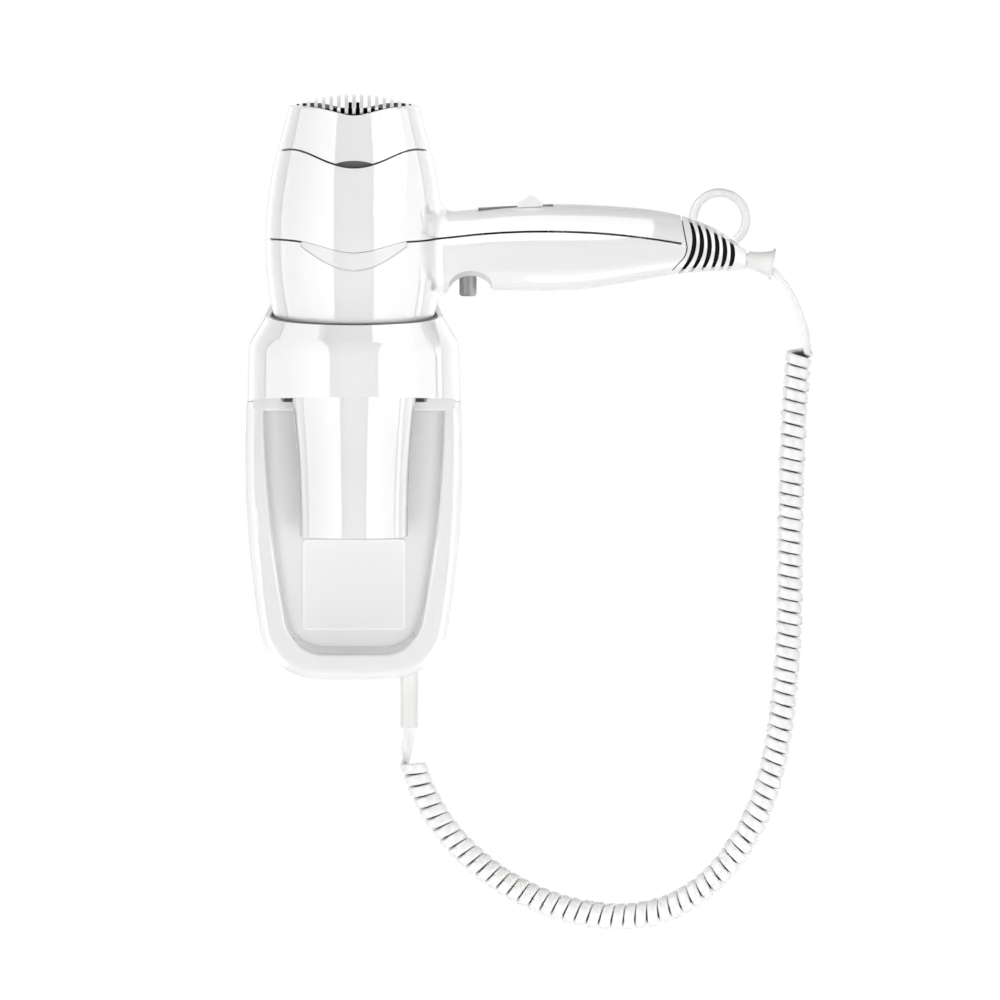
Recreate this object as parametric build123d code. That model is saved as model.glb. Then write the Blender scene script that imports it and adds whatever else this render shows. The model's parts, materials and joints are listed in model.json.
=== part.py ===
from build123d import *
import math
import os

# Wall hair dryer resting in its holder, with the curly cord between them.
# Millimetres, +Z up. The wall is the plane Y = 0, the front faces -Y, and the origin
# lies on the wall midway between the two mounting screws.

# Barrel: lengths are stacked up and down from the shoulder that rests in the holder
SHOULDER_Z = 88.5
NECK_LENGTH = 28.5
MOUTH_LENGTH = 38.5
REAR_LENGTH = 45.0
CAP_LENGTH = 23.4
BARREL_R = 44.3
MOUTH_TAPER = 4.3
NECK_TAPER = 7.0
REAR_TAPER = 5.7
CAP_TAPER = 6.3
SHELL_WALL = 2.2
SEAM_GAP = 1.0
WALL_GAP = 7.7

# Seams: heights above the widest ring of the barrel
SEAM_CREST = 2.0
SEAM_END = -2.1
SEAM_SHOULDER = 1.6
SEAM_DIP = -3.95
SEAM_HANDLE = ((40.0, 2.0), (63.0, 4.3), (93.0, 5.7), (125.0, 4.6), (150.0, 1.75), (175.0, -2.8))
CRESCENT_HALF = 26.5
CRESCENT_DEPTH = 8.7
CRESCENT_SIDE = 2.4
CRESCENT_SLOPES = (0.19, 0.75)
CRESCENT_THICK = 1.2
CRESCENT_GAP = 0.25
CAP_SEAM_CREST = 2.1
CAP_SEAM_DIP = -6.0
CAP_SEAM = ((44.0, -4.5), (38.0, 0.3), (32.0, CAP_SEAM_CREST), (15.5, -2.45))
NOTCH_HALF = 10.7
NOTCH_RISE = 3.0

# Intake: fins standing in the open rear end
RIM_ROUND = 1.2
RIM_DIP = 3.7
RIM_DIP_HALF = 24.0
FIN_COUNT = 15
FIN_PITCH = 3.8
FIN_THICK = 1.7
DOME_R = 77.0
DOME_RISE = 5.4
RING_HEIGHT = 2.5
FIN_BAR = 1.6
FIN_BAR_OUT = 11.0
LEDGE_DROP = 15.3
LEDGE_HEIGHT = 2.2
LEDGE_WIDTH = 3.5
LINER_THICK = 1.4
LINER_DROP = 3.2
PLUG_WALL = 1.5
PLUG_DROP = 10.0
PLUG_RISE = 5.0
FILTER_THICK = 1.2
FILTER_HOLE = 4.0
FILTER_PITCH = 6.0
FIT = 0.2

# Handle and cord end: reach from the barrel axis, centre above the widest ring, half height, half depth
GRIP_STATIONS = (
    (30.0, -3.7, 21.2, 16.5),
    (70.0, -3.6, 21.0, 16.5),
    (97.0, -3.0, 21.8, 17.0),
    (130.0, -2.1, 19.8, 15.8),
    (163.0, -1.5, 14.7, 12.5),
    (180.0, -4.1, 10.8, 9.4),
    (196.0, -9.0, 4.7, 4.7),
)
BLEND_R = 7.0
END_TOP = (161.3, 22.4)
END_CORNER = (166.9, -5.2)
END_LOW = (150.0, -24.1)
END_BEND = 9.0
END_GAP = 0.6
SCOOP_RIGHT = (70.0, -24.7)
SCOOP_TOP = (57.5, -16.9)
SCOOP_LEFT = (46.5, -25.4)
SCOOP_FLARE = 0.4
SCOOP_FLARE_FROM = 7.0

# Cord end of the handle
SLEEVE_WALL = 2.0
SLOT_COUNT = 6
SLOT_FIRST_X = 169.9
SLOT_PITCH = 3.9
SLOT_WIDTH = 2.3
SLOT_TIP = 1.0
SLOT_LEAN = (2.5, 1.5)
SLOT_SWEEP = (8.7, 2.4)
SLOT_BRIDGE = 3.0
LOOP_X = 182.8
LOOP_RISE = 11.2
LOOP_R = 13.2
LOOP_WIRE_R = 2.15
LOOP_ARC = 240.0
LOOP_START = -52.0
BUSH_LENGTH = 12.6
BUSH_TILT = 10.2
BUSH_NECK_R = 4.3
BUSH_MOUTH_R = 6.8
BUSH_FLANGE_R = 7.8
BUSH_FLANGE = 1.3
BUSH_BORE_DEPTH = 9.0
BUSH_ROOT = 6.0
BUSH_ROOT_R = 3.2

# Controls
SWITCH_X = 80.8
SWITCH_RISE = 17.6
SWITCH_TILT = 2.8
BEZEL_LENGTH = 37.6
BEZEL_WIDTH = 10.0
BEZEL_THICK = 2.4
KNOB_SHIFT = 7.2
KNOB_LENGTH = 12.6
KNOB_WIDTH = 12.4
KNOB_BASE = 2.0
KNOB_SKIRT = 1.2
KNOB_HEIGHT = 4.6
KNOB_TRAVEL = 16.0
KNOB_STEM = 3.0
SWITCH_DROP = 7.0
SWITCH_BODY = 14.0
RUN_GAP = 0.35
BUTTON_X = 57.0
BUTTON_R = 4.35
BUTTON_TIP = -27.4
BUTTON_ROUND = 1.5
BUTTON_FLANGE_R = 6.0
BUTTON_FLANGE = 1.5
SPRING_R = 3.2
SPRING_WIRE = 0.7
SPRING_TURNS = 4
SPRING_LENGTH = 6.0
SCREW_REACH = (102.0, 142.0)
SCREW_R = 1.4
SCREW_HEAD_R = 2.7
SCREW_HEAD = 2.0
SCREW_DROP = 10.0
SCREW_LENGTH = 22.0
BOSS_R = 3.6

# Nozzle and air path
NOZZLE_LENGTH = 80.3
NOZZLE_TOP_R = 32.4
NOZZLE_WAIST_R = 28.05
NOZZLE_WAIST = 47.0
NOZZLE_END_R = 27.1
NOZZLE_WALL = 1.8
SPIGOT_LENGTH = 8.0
GRILLE_DROP = 15.0
GRILLE_HEIGHT = 2.4
GRILLE_BAR = 1.8
SLEEVE_R = 28.3
HEATER_SLEEVE_WALL = 0.8
HEATER_LENGTH = 50.0
HEATER_COIL_R = 24.0
HEATER_WIRE_R = 1.1
HEATER_TURNS = 7
MICA_THICK = 1.0
CUTOUT_R = 6.0
CUTOUT_HEIGHT = 4.0
MOTOR_R = 13.5
MOTOR_RISE = 4.0
MOTOR_LENGTH = 22.0
SHAFT_R = 1.5
CARRIER_RISE = 5.0
CARRIER_HEIGHT = 16.0
CARRIER_WALL = 1.6
CARRIER_SKIRT = 11.5
VANE_LEAN = 25.0
VANE_COUNT = 7
FAN_RISE = 29.0
FAN_HEIGHT = 10.0
FAN_HUB_R = 10.0
FAN_GAP = 0.8
BLADE_COUNT = 9
BLADE_THICK = 1.3
BLADE_PITCH = 40.0

# Holder
COLLAR_REACH = 13.75
COLLAR_WALL = 2.5
COLLAR_LOW_Z = 47.3
COLLAR_LOW_TILT = 4.8
COLLAR_RIM_Z = 89.5
COLLAR_RIM_TILT = 2.7
COLLAR_BACK_TILT = 12.0
COLLAR_SHOULDER_Z = 76.2
COLLAR_SHOULDER_IN = 1.05
COLLAR_BEND = 15.0
COLLAR_TOP_Z = 104.0
COLLAR_TOP_IN = 17.9
SEAT_GAP = 0.5
SEAT_WALL = 2.0
SEAT_LOW_Z = 64.0
SEAT_DECK_Z = 82.0
LIP_WIDTH = 4.0
LIP_RISE = 0.35
TONGUE_TOP_Z = 50.0
TONGUE_CLEAR = 8.3
TRAY_BULGE = 0.85
TRAY_BULGE_Z = 8.0
TRAY_LOW_HALF = 43.2
TRAY_LOW_Z = -91.5
TRAY_SAG = 2.2
TRAY_CORNER_R = 30.0
TRAY_DEPTH = 34.0
TRAY_WALL = 2.5
TRAY_EDGE_R = 6.0
POCKET_DEPTH = 18.0
POCKET_TOP_Z = 41.0
POCKET_TOP_HALF = 45.0
POCKET_MID_HALF = 41.9
POCKET_MID_Z = -12.0
POCKET_LOW_HALF = 31.0
POCKET_LOW_Z = -80.6
POCKET_CORNER_R = 20.0
POCKET_EDGE_R = 1.8
FLOOR_IN = 1.0
FLOOR_LOW_HALF = 30.4
FLOOR_LOW_Z = -77.6
FLOOR_CORNER_R = 19.0
NOZZLE_CLEAR = 3.0
PANEL_WIDTH = 51.2
PANEL_TOP_Z = -24.1
PANEL_HEIGHT = 45.3
PANEL_CORNER_R = 2.2
PANEL_THICK = 1.2
PANEL_FRAME = 0.9
PANEL_SINK = 0.3
PLATE_THICK = 3.0
PLATE_MARGIN = 1.0
PLATE_TOP_Z = 40.0
MOUNT_SPACING = 60.0
MOUNT_HOLE_R = 2.25
TERMINAL_WIDTH = 30.0
TERMINAL_DEPTH = 8.0
TERMINAL_HEIGHT = 14.0
TERMINAL_SCREW_HEAD = 1.0
TERMINAL_SCREW_R = 2.2
TERMINAL_COUNT = 3
CLAMP_WIDTH = 15.0
CLAMP_HEIGHT = 8.0
CLAMP_Z = -66.0
LOCK_SCREW_R = 1.7
LOCK_HEAD_R = 3.2
LOCK_HEAD = 1.4
LUG_WIDTH = 12.0
LUG_DEPTH = 11.0
LUG_HEIGHT = 7.0

# Cord: flat twin lead in one piece, its curls about a hanging line of hand-placed points
WIRE_R = 2.05
WIRE_SIDES = 6
CURL_R = 4.5
CURLS = 79
CURL_BEND = 4.6
CURL_PHASE = 156.0
CURL_TWIST = 46.0
GLAND_X = 27.6
GLAND_Y = -17.0
GLAND_R = 4.3
GLAND_LENGTH = 26.8
GLAND_INSIDE = 10.5
GLAND_FLANGE_R = 6.4
GLAND_FLANGE = 2.0
GLAND_BORE_DEPTH = 9.0
BORE_GAP = 0.6
CURL_LINE = (
    (29.8, -22.9, -136.5),
    (32.2, -23.0, -146.5),
    (48.0, -23.0, -173.5),
    (72.6, -25.0, -194.6),
    (100.7, -27.5, -207.8),
    (130.0, -30.0, -213.3),
    (157.5, -33.0, -209.2),
    (183.0, -36.5, -191.8),
    (203.0, -40.0, -160.5),
    (212.9, -43.0, -123.0),
    (217.0, -45.0, -80.0),
    (218.0, -46.5, -38.0),
    (218.4, -47.0, 2.0),
    (219.7, -46.6, 40.0),
    (222.4, -46.2, 72.0),
)
LOWER_LEAD_REACH = 1.5
LOWER_LEAD_RUN = 3.5
UPPER_LEAD = (
    (206.6, -52.0, 115.2),
    (214.6, -52.0, 107.4),
    (220.6, -52.0, 96.8),
)

# Heights and radii that follow from the sizes above
AXIS_Y = -(BARREL_R + WALL_GAP)
NECK_Z = SHOULDER_Z - NECK_LENGTH
BARREL_Z = SHOULDER_Z + MOUTH_LENGTH
CAP_Z = BARREL_Z + REAR_LENGTH
RIM_Z = CAP_Z + CAP_LENGTH
SHOULDER_R = BARREL_R - MOUTH_TAPER
NECK_R = SHOULDER_R - NECK_TAPER
CAP_R = BARREL_R - REAR_TAPER
RIM_R = CAP_R - CAP_TAPER
NOZZLE_END_Z = NECK_Z - FIT - NOZZLE_LENGTH
COLLAR_R = SHOULDER_R + COLLAR_REACH
COLLAR_BACK_Y = -PLATE_THICK - FIT
TRAY_HALF = COLLAR_R + TRAY_BULGE
TRAY_TOP_Z = COLLAR_LOW_Z + 3.0
FLOOR_Y = POCKET_DEPTH - TRAY_DEPTH
FIN_R = RIM_R - SHELL_WALL - FIT - LINER_THICK
PLUG_R = CAP_R - CAP_TAPER * CAP_SEAM_CREST / CAP_LENGTH - SHELL_WALL - RUN_GAP
FAN_R = PLUG_R - PLUG_WALL - FAN_GAP
LEDGE_Z = RIM_Z - LEDGE_DROP
FILTER_Z = LEDGE_Z + LEDGE_HEIGHT
RING_Z = FILTER_Z + FILTER_THICK
LINER_Z = RING_Z + RING_HEIGHT
HEATER_LOW = NECK_Z + SPIGOT_LENGTH + 1.0
HEATER_TOP = HEATER_LOW + HEATER_LENGTH
SCREW_LOW = BARREL_Z - SCREW_DROP
SCREW_TOP = SCREW_LOW + SCREW_LENGTH
BUTTON_LOW = BARREL_Z + BUTTON_TIP
BUTTON_SEAT = BARREL_Z + SCOOP_TOP[1] + SHELL_WALL + RUN_GAP
SPRING_LOW = BUTTON_SEAT + BUTTON_FLANGE
SPRING_HIGH = SPRING_LOW + SPRING_LENGTH
GLAND_TOP = TRAY_LOW_Z + GLAND_INSIDE
GLAND_END = TRAY_LOW_Z - GLAND_LENGTH
FRONT = Plane(origin=(0, AXIS_Y, 0), x_dir=(1, 0, 0), z_dir=(0, -1, 0))
WALL = Plane(origin=(0, 0, 0), x_dir=(1, 0, 0), z_dir=(0, -1, 0))
BARREL_AXIS = Axis((0, AXIS_Y, 0), (0, 0, 1))
FAR = 400.0


# Shared helpers


def at_axis(z):
    """Place on the barrel axis at a height."""
    return Pos(0, AXIS_Y, z)


def slice_z(low, high):
    """Everything between two heights."""
    return at_axis((low + high) / 2) * Box(FAR, FAR, high - low)


def across(face):
    """A front-view outline carried through the object from front to back."""
    return extrude(FRONT * face, amount=FAR, both=True)


def upright(radius, low, high):
    """A cylinder on the barrel axis."""
    return at_axis((low + high) / 2) * Cylinder(radius, high - low)


def tube(outer, inner, low, high):
    """A plain ring on the barrel axis."""
    return upright(outer, low, high) - upright(inner, low, high)


def barrel_solid(inset):
    """The barrel's outer form, drawn in by an inset."""
    widest = (BARREL_R - inset, BARREL_Z)
    rim = (RIM_R - inset - RIM_ROUND, RIM_Z)
    brow = (barrel_r(RIM_Z - RIM_ROUND) - inset, RIM_Z - RIM_ROUND)
    mouth = TangentArc(widest, (SHOULDER_R - inset, SHOULDER_Z), tangent=(0, -1))
    neck = TangentArc(mouth @ 1, (NECK_R - inset, NECK_Z), tangent=mouth % 1)
    rear = TangentArc(widest, (CAP_R - inset, CAP_Z), tangent=(0, 1))
    cap = Line(rear @ 1, brow)
    side = mouth + neck + rear + cap + TangentArc(brow, rim, tangent=cap % 1)
    return revolve(
        FRONT * make_face(side + Polyline(rim, (0, RIM_Z), (0, NECK_Z), neck @ 1)),
        axis=BARREL_AXIS,
    )


def barrel_r(z):
    """Outer radius of the barrel at a height."""
    if z > CAP_Z:
        return CAP_R - CAP_TAPER * (z - CAP_Z) / CAP_LENGTH
    if z < SHOULDER_Z:
        return SHOULDER_R - NECK_TAPER * (SHOULDER_Z - z) / NECK_LENGTH
    span, taper = (REAR_LENGTH, REAR_TAPER) if z > BARREL_Z else (MOUTH_LENGTH, MOUTH_TAPER)
    bend = (span**2 + taper**2) / (2 * taper)
    return BARREL_R - bend + math.sqrt(bend**2 - (z - BARREL_Z) ** 2)


def inner_r(z):
    """Inner radius of the shell at a height."""
    return barrel_r(z) - SHELL_WALL


def grip_solid(inset):
    """Handle and cord end in one tapering oval form, drawn in by an inset."""
    sections = []
    for reach, rise, half_height, half_depth in GRIP_STATIONS:
        plane = Plane(origin=(reach, AXIS_Y, BARREL_Z + rise), x_dir=(0, 1, 0), z_dir=(1, 0, 0))
        sections.append(plane * Ellipse(half_depth - inset, half_height - inset))
    return loft(sections)


def rise(x, height):
    """A front-view point given by its height above the widest ring."""
    return (x, BARREL_Z + height)


def biarc(start, start_dir, end, end_dir):
    """Two tangent arcs between two points with given directions."""
    chord = end - start
    both = start_dir + end_dir
    a = 2 * (1 - start_dir.dot(end_dir))
    b = 2 * chord.dot(both)
    reach = (math.sqrt(b**2 + 4 * a * chord.dot(chord)) - b) / (2 * a)
    first = start + start_dir * reach
    last = end - end_dir * reach
    middle = (first + last) * 0.5
    return [
        TangentArc(start, middle, tangent=start_dir),
        TangentArc(middle, end, tangent=(last - first).normalized()),
    ]


class Winding:
    """A helix about a line, with a part turn spread over its length."""

    def __init__(self, line, radius, turns, phase=0.0, twist=0.0):
        self.line = line
        self.radius = radius
        self.turns = turns
        self.phase = math.radians(phase)
        self.twist = math.radians(twist)

    def point(self, turn):
        along = min(max(turn / self.turns, 0.0), 1.0)
        ahead = self.line % along
        side = ahead.cross(Vector(0, 1, 0)).normalized()
        back = side.cross(ahead)
        angle = 2 * math.pi * turn + self.phase + self.twist * along
        spread = side * math.cos(angle) + back * math.sin(angle)
        return (self.line @ along) + spread * self.radius

    def ahead(self, turn, step=0.0005):
        low = max(turn - step, 0.0)
        high = min(turn + step, self.turns)
        return (self.point(high) - self.point(low)).normalized()

    def arcs(self):
        edges = []
        for half in range(2 * self.turns):
            start, end = half / 2, (half + 1) / 2
            edges += biarc(self.point(start), self.ahead(start), self.point(end), self.ahead(end))
        return edges

    def least_gap(self, wire_r, steps=24):
        dots = [self.point(i / steps) for i in range(self.turns * steps + 1)]
        least = FAR
        for i, dot in enumerate(dots):
            for other in dots[i + steps // 2 : i + 2 * steps]:
                least = min(least, (other - dot).length)
        return least - 2 * wire_r


def wire_tube(edges, radius, sides):
    """One unbroken tube of a faceted round section along tangent edges."""
    path = Wire(edges)
    section = Plane(origin=path @ 0, z_dir=path % 0) * RegularPolygon(radius, sides)
    return sweep(section, path=path, clean=False)


def cord_route(points):
    """Straight runs joined by arcs as large as the runs allow."""
    dots = [Vector(*point) for point in points]
    runs = [(b - a).length for a, b in zip(dots, dots[1:])]
    radii = []
    for i in range(1, len(dots) - 1):
        turn = math.radians((dots[i] - dots[i - 1]).get_angle(dots[i + 1] - dots[i]))
        radii.append(0.45 * min(runs[i - 1], runs[i]) / math.tan(turn / 2))
    print("cord radii", [round(radius, 1) for radius in radii])
    return FilletPolyline(*dots, radius=radii)


# Seams that part the shells


def dip_line(half, end, dip, slope):
    """Front-view line between two ends of one height, sinking to a dip at the barrel's middle."""
    ends = rise(-half, end), rise(half, end)
    return Spline(ends[0], rise(0, dip), ends[1], tangents=((1, -slope), (1, slope)))


def shell_seam(shift):
    """Front-view line between the two shells, dipping under the rear barrel."""
    left = ThreePointArc(
        rise(-60, SEAM_END + shift),
        rise(-40, SEAM_CREST + shift),
        rise(-CRESCENT_HALF, SEAM_SHOULDER + shift),
    )
    dip = dip_line(CRESCENT_HALF, SEAM_SHOULDER + shift, SEAM_DIP + shift, CRESCENT_SLOPES[0])
    handle = Spline(dip @ 1, *[rise(x, height + shift) for x, height in SEAM_HANDLE])
    return left + dip + handle


def cap_seam(shift):
    """Front-view line between the rear shell and the cap."""
    left = [(-x, CAP_Z + z + shift) for x, z in CAP_SEAM]
    right = [(x, CAP_Z + z + shift) for x, z in reversed(CAP_SEAM)]
    return Spline(*left, (0, CAP_Z + CAP_SEAM_DIP + shift), *right)


def beyond(line, side):
    """All that lies above (+1) or below (-1) a front-view line."""
    start, end = line.edges()[0] @ 0, line.edges()[-1] @ 1
    height = BARREL_Z + side * FAR
    return across(make_face(line + Polyline(end, (end.X, height), (start.X, height), start)))


def handle_end(shift):
    """All of the grip on the barrel's side of its end line."""
    low, corner, top = [(x + shift, BARREL_Z + z) for x, z in (END_LOW, END_CORNER, END_TOP)]
    line = FilletPolyline(low, corner, top, radius=END_BEND)
    high, deep = top[1] + FAR, low[1] - FAR
    back = Polyline(top, (top[0], high), (-FAR, high), (-FAR, deep), (low[0], deep), low)
    return across(make_face(line + back))


def scoop_face(grow):
    """Front-view outline of the finger hollow under the handle, grown all round."""
    left, top, right = [(x, BARREL_Z + z + grow) for x, z in (SCOOP_LEFT, SCOOP_TOP, SCOOP_RIGHT)]
    left = (left[0] - grow, left[1])
    right = (right[0] + grow, right[1])
    line = ThreePointArc(left, top, right)
    return make_face(line + Polyline(right, (right[0], right[1] - 30), (left[0], left[1] - 30), left))


def scoop(grow):
    return across(scoop_face(grow))


def scoop_flare():
    """Sloped edges of the finger hollow, opening towards front and back."""
    depth = 3 * SCOOP_FLARE_FROM
    wide = scoop_face(SCOOP_FLARE * (depth - SCOOP_FLARE_FROM))
    sides = []
    for side in (-1, 1):
        near = FRONT.offset(side * SCOOP_FLARE_FROM) * scoop_face(0)
        sides.append(loft([near, FRONT.offset(side * depth) * wide], ruled=True))
    return Part() + sides


# Barrel and handle in one hollow form, before it is parted


def make_body():
    barrel = barrel_solid(0)
    grip = grip_solid(0) & handle_end(0)
    whole = barrel + grip
    whole = fillet(new_edges(barrel, grip, combined=whole), BLEND_R)
    hollow = barrel_solid(SHELL_WALL) + (grip_solid(SHELL_WALL) & handle_end(-SHELL_WALL))
    return whole - scoop(0) - scoop_flare() - (hollow - scoop(SHELL_WALL))


def switch_place(offset=0.0):
    """Local frame of the slide switch on the crown of the handle."""
    tilt = math.radians(SWITCH_TILT)
    along = Vector(math.cos(tilt), 0, math.sin(tilt))
    out = Vector(-math.sin(tilt), 0, math.cos(tilt))
    centre = Vector(SWITCH_X, AXIS_Y, BARREL_Z + SWITCH_RISE)
    return Plane(origin=centre + along * offset, x_dir=along, z_dir=out)


def screw_posts(radius, low, high):
    """Round posts at the two shell screws."""
    posts = [Pos(x, AXIS_Y, (low + high) / 2) * Cylinder(radius, high - low) for x in SCREW_REACH]
    return Part() + posts


def make_rear_shell(body):
    shell = (body & beyond(shell_seam(SEAM_GAP / 2), 1)) - beyond(cap_seam(-SEAM_GAP / 2), 1)
    posts = screw_posts(BOSS_R, BARREL_Z, BARREL_Z + FAR) & grip_solid(SHELL_WALL / 2)
    shell += posts
    shell -= screw_posts(SCREW_R + FIT / 4, BARREL_Z - 1, SCREW_TOP)
    recess = switch_place() * Pos(0, 0, FAR / 2 - BEZEL_THICK) * Box(
        BEZEL_LENGTH + 2 * FIT, BEZEL_WIDTH + 2 * FIT, FAR
    )
    return shell - recess


def make_front_shell(body):
    shell = body & beyond(shell_seam(-SEAM_GAP / 2), -1)
    shell -= crescent_block(0, CRESCENT_THICK + FIT)
    ledge_z = BARREL_Z + CARRIER_RISE - CARRIER_SKIRT
    ledge = tube(inner_r(ledge_z) + 0.5, inner_r(ledge_z) - LEDGE_WIDTH, ledge_z - LEDGE_HEIGHT, ledge_z)
    shell += ledge & barrel_solid(SHELL_WALL / 2)
    sleeve_r = SLEEVE_R + FIT
    ribs = []
    rib_low, rib_high = SHOULDER_Z - 16.0, SHOULDER_Z + 20.0
    for i in range(4):
        rib = Pos((sleeve_r + BARREL_R) / 2, 0, 0) * Box(BARREL_R - sleeve_r, 1.6, rib_high - rib_low)
        ribs.append(at_axis((rib_low + rib_high) / 2) * Rot(0, 0, 45 + 90 * i) * rib)
    shell += (Part() + ribs) & barrel_solid(SHELL_WALL / 2)
    posts = screw_posts(BOSS_R, BARREL_Z - FAR, BARREL_Z - FIT) & grip_solid(SHELL_WALL / 2)
    shell += posts
    shell -= screw_posts(SCREW_R + FIT, BARREL_Z - FAR, BARREL_Z)
    shell -= screw_posts(SCREW_HEAD_R + FIT, BARREL_Z - FAR, SCREW_LOW)
    shell += switch_web() & grip_solid(SHELL_WALL / 2)
    hole = Pos(BUTTON_X, AXIS_Y, BARREL_Z + SCOOP_TOP[1]) * Cylinder(BUTTON_R + RUN_GAP, 12)
    return shell - hole


def switch_web():
    """Upright web that carries the switch unit in the lower half of the handle."""
    width = BEZEL_LENGTH - 12.0
    top = BARREL_Z + SWITCH_RISE - SWITCH_DROP - SWITCH_BODY
    return Pos(SWITCH_X, AXIS_Y, top - FAR / 2) * Box(width, 2.0, FAR)


def crescent_block(gap, depth):
    """Crescent under the dip of the seam, cut to a depth below the barrel's surface."""
    half = CRESCENT_HALF - gap
    shoulder = SEAM_SHOULDER + SEAM_GAP / 2 - gap
    upper = dip_line(half, shoulder, SEAM_DIP + SEAM_GAP / 2 - gap, CRESCENT_SLOPES[0])
    low_side = SEAM_SHOULDER - CRESCENT_SIDE + gap
    lower = dip_line(half, low_side, SEAM_DIP - CRESCENT_DEPTH + gap, CRESCENT_SLOPES[1])
    sides = Line(upper @ 1, lower @ 1) + Line(lower @ 0, upper @ 0)
    block = extrude(FRONT * make_face(upper + sides + lower), amount=FAR)
    return block - barrel_solid(depth)


def make_crescent():
    return (crescent_block(CRESCENT_GAP, CRESCENT_THICK) & barrel_solid(0)).solid()


# Rear cap with the intake


def rim_line():
    """All above the rim line, which dips at front and back."""
    half = RIM_R + 1.0
    top = RIM_Z + DOME_RISE + 1.0
    left, right = (-RIM_DIP_HALF, RIM_Z), (RIM_DIP_HALF, RIM_Z)
    dip = Spline(left, (0, RIM_Z - RIM_DIP), right, tangents=((1, 0), (1, 0)))
    frame = Polyline(right, (half, RIM_Z), (half, top), (-half, top), (-half, RIM_Z), left)
    return across(make_face(dip + frame))


def make_cap(body):
    cap = body & beyond(cap_seam(SEAM_GAP / 2), 1)
    notch_z = CAP_Z + CAP_SEAM_DIP + 1.4
    upper = ThreePointArc((-NOTCH_HALF, notch_z), (0, notch_z + NOTCH_RISE - 1.0), (NOTCH_HALF, notch_z))
    lower = ThreePointArc((NOTCH_HALF, notch_z), (0, notch_z - NOTCH_RISE), (-NOTCH_HALF, notch_z))
    cap -= extrude(FRONT * make_face(upper + lower), amount=FAR)
    bore = upright(inner_r(LEDGE_Z) - LEDGE_WIDTH, LEDGE_Z - 1, FILTER_Z + 1)
    ledge = barrel_solid(SHELL_WALL / 2) - bore
    cap += ledge & slice_z(LEDGE_Z, FILTER_Z)
    return cap - rim_line()


def make_cap_ring():
    """Dark plug of the cap that slips into the rear shell."""
    ring = tube(PLUG_R, PLUG_R - PLUG_WALL, CAP_Z - PLUG_DROP, CAP_Z + PLUG_RISE)
    return ring & barrel_solid(SHELL_WALL + FIT / 4)


def make_intake_grille():
    dome_z = RIM_Z + DOME_RISE
    form = at_axis(dome_z - DOME_R) * Sphere(DOME_R) & upright(FIN_R, RING_Z, dome_z + 1)
    fins = []
    for i in range(FIN_COUNT):
        x = (i - (FIN_COUNT - 1) / 2) * FIN_PITCH
        fins.append(Pos(x, AXIS_Y, RING_Z + 15) * Box(FIN_THICK, FAR, 30) & form)
    ring_r = inner_r(LINER_Z) - FIT
    bar = Box(2 * FIN_R, FIN_BAR, RING_HEIGHT)
    bars = [Pos(0, AXIS_Y + y, RING_Z + RING_HEIGHT / 2) * bar for y in (-FIN_BAR_OUT, FIN_BAR_OUT)]
    return tube(ring_r, FIN_R - 4.0, RING_Z, LINER_Z) + bars + fins


def make_liner():
    ring = barrel_solid(SHELL_WALL + FIT) - upright(FIN_R + FIT, LINER_Z - 1, RIM_Z + 1)
    return ring & slice_z(LINER_Z, RIM_Z - LINER_DROP)


def make_filter():
    radius = inner_r(RING_Z) - FIT
    plate = Circle(radius)
    reach = radius - FILTER_HOLE
    half = int(reach // FILTER_PITCH)
    for i in range(-half, half + 1):
        for j in range(-half, half + 1):
            x, y = i * FILTER_PITCH, j * FILTER_PITCH
            if math.hypot(x, y) < reach and (i, j) != (0, 0):
                plate -= Pos(x, y) * Rectangle(FILTER_HOLE, FILTER_HOLE)
    disc = extrude(at_axis(FILTER_Z) * plate, amount=FILTER_THICK)
    post_width = FIN_PITCH - FIN_THICK - 2 * FIT
    top = RIM_Z + DOME_RISE - 4.3
    posts = [
        Pos(side * FIN_PITCH / 2, AXIS_Y, (FILTER_Z + top) / 2) * Box(post_width, 6.0, top - FILTER_Z)
        for side in (-1, 1)
    ]
    return disc + posts


# Fan, motor and heater


def make_fan():
    low = BARREL_Z + FAN_RISE
    high = low + FAN_HEIGHT
    hub = fillet(upright(FAN_HUB_R, low, high).edges().group_by(Axis.Z)[-1], 3.0)
    blades = []
    for i in range(BLADE_COUNT):
        blade = Pos(FAN_R / 2 + 3, 0, 0) * Rot(BLADE_PITCH, 0, 0) * Box(FAN_R, BLADE_THICK, 2 * FAN_HEIGHT)
        blades.append(at_axis((low + high) / 2) * Rot(0, 0, 360 * i / BLADE_COUNT) * blade)
    disc = upright(FAN_R, low, high)
    return hub + [blade & disc for blade in blades] - upright(SHAFT_R, low - 1, high + 1)


def make_shaft():
    return upright(SHAFT_R, BARREL_Z + MOTOR_RISE + MOTOR_LENGTH, BARREL_Z + FAN_RISE + FAN_HEIGHT)


def make_motor():
    low = BARREL_Z + MOTOR_RISE
    can = upright(MOTOR_R, low, low + MOTOR_LENGTH - 2)
    can = fillet(can.edges().group_by(Axis.Z)[0], 2.0)
    return can + upright(MOTOR_R * 0.45, low + MOTOR_LENGTH - 2, low + MOTOR_LENGTH - 0.3)


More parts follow.
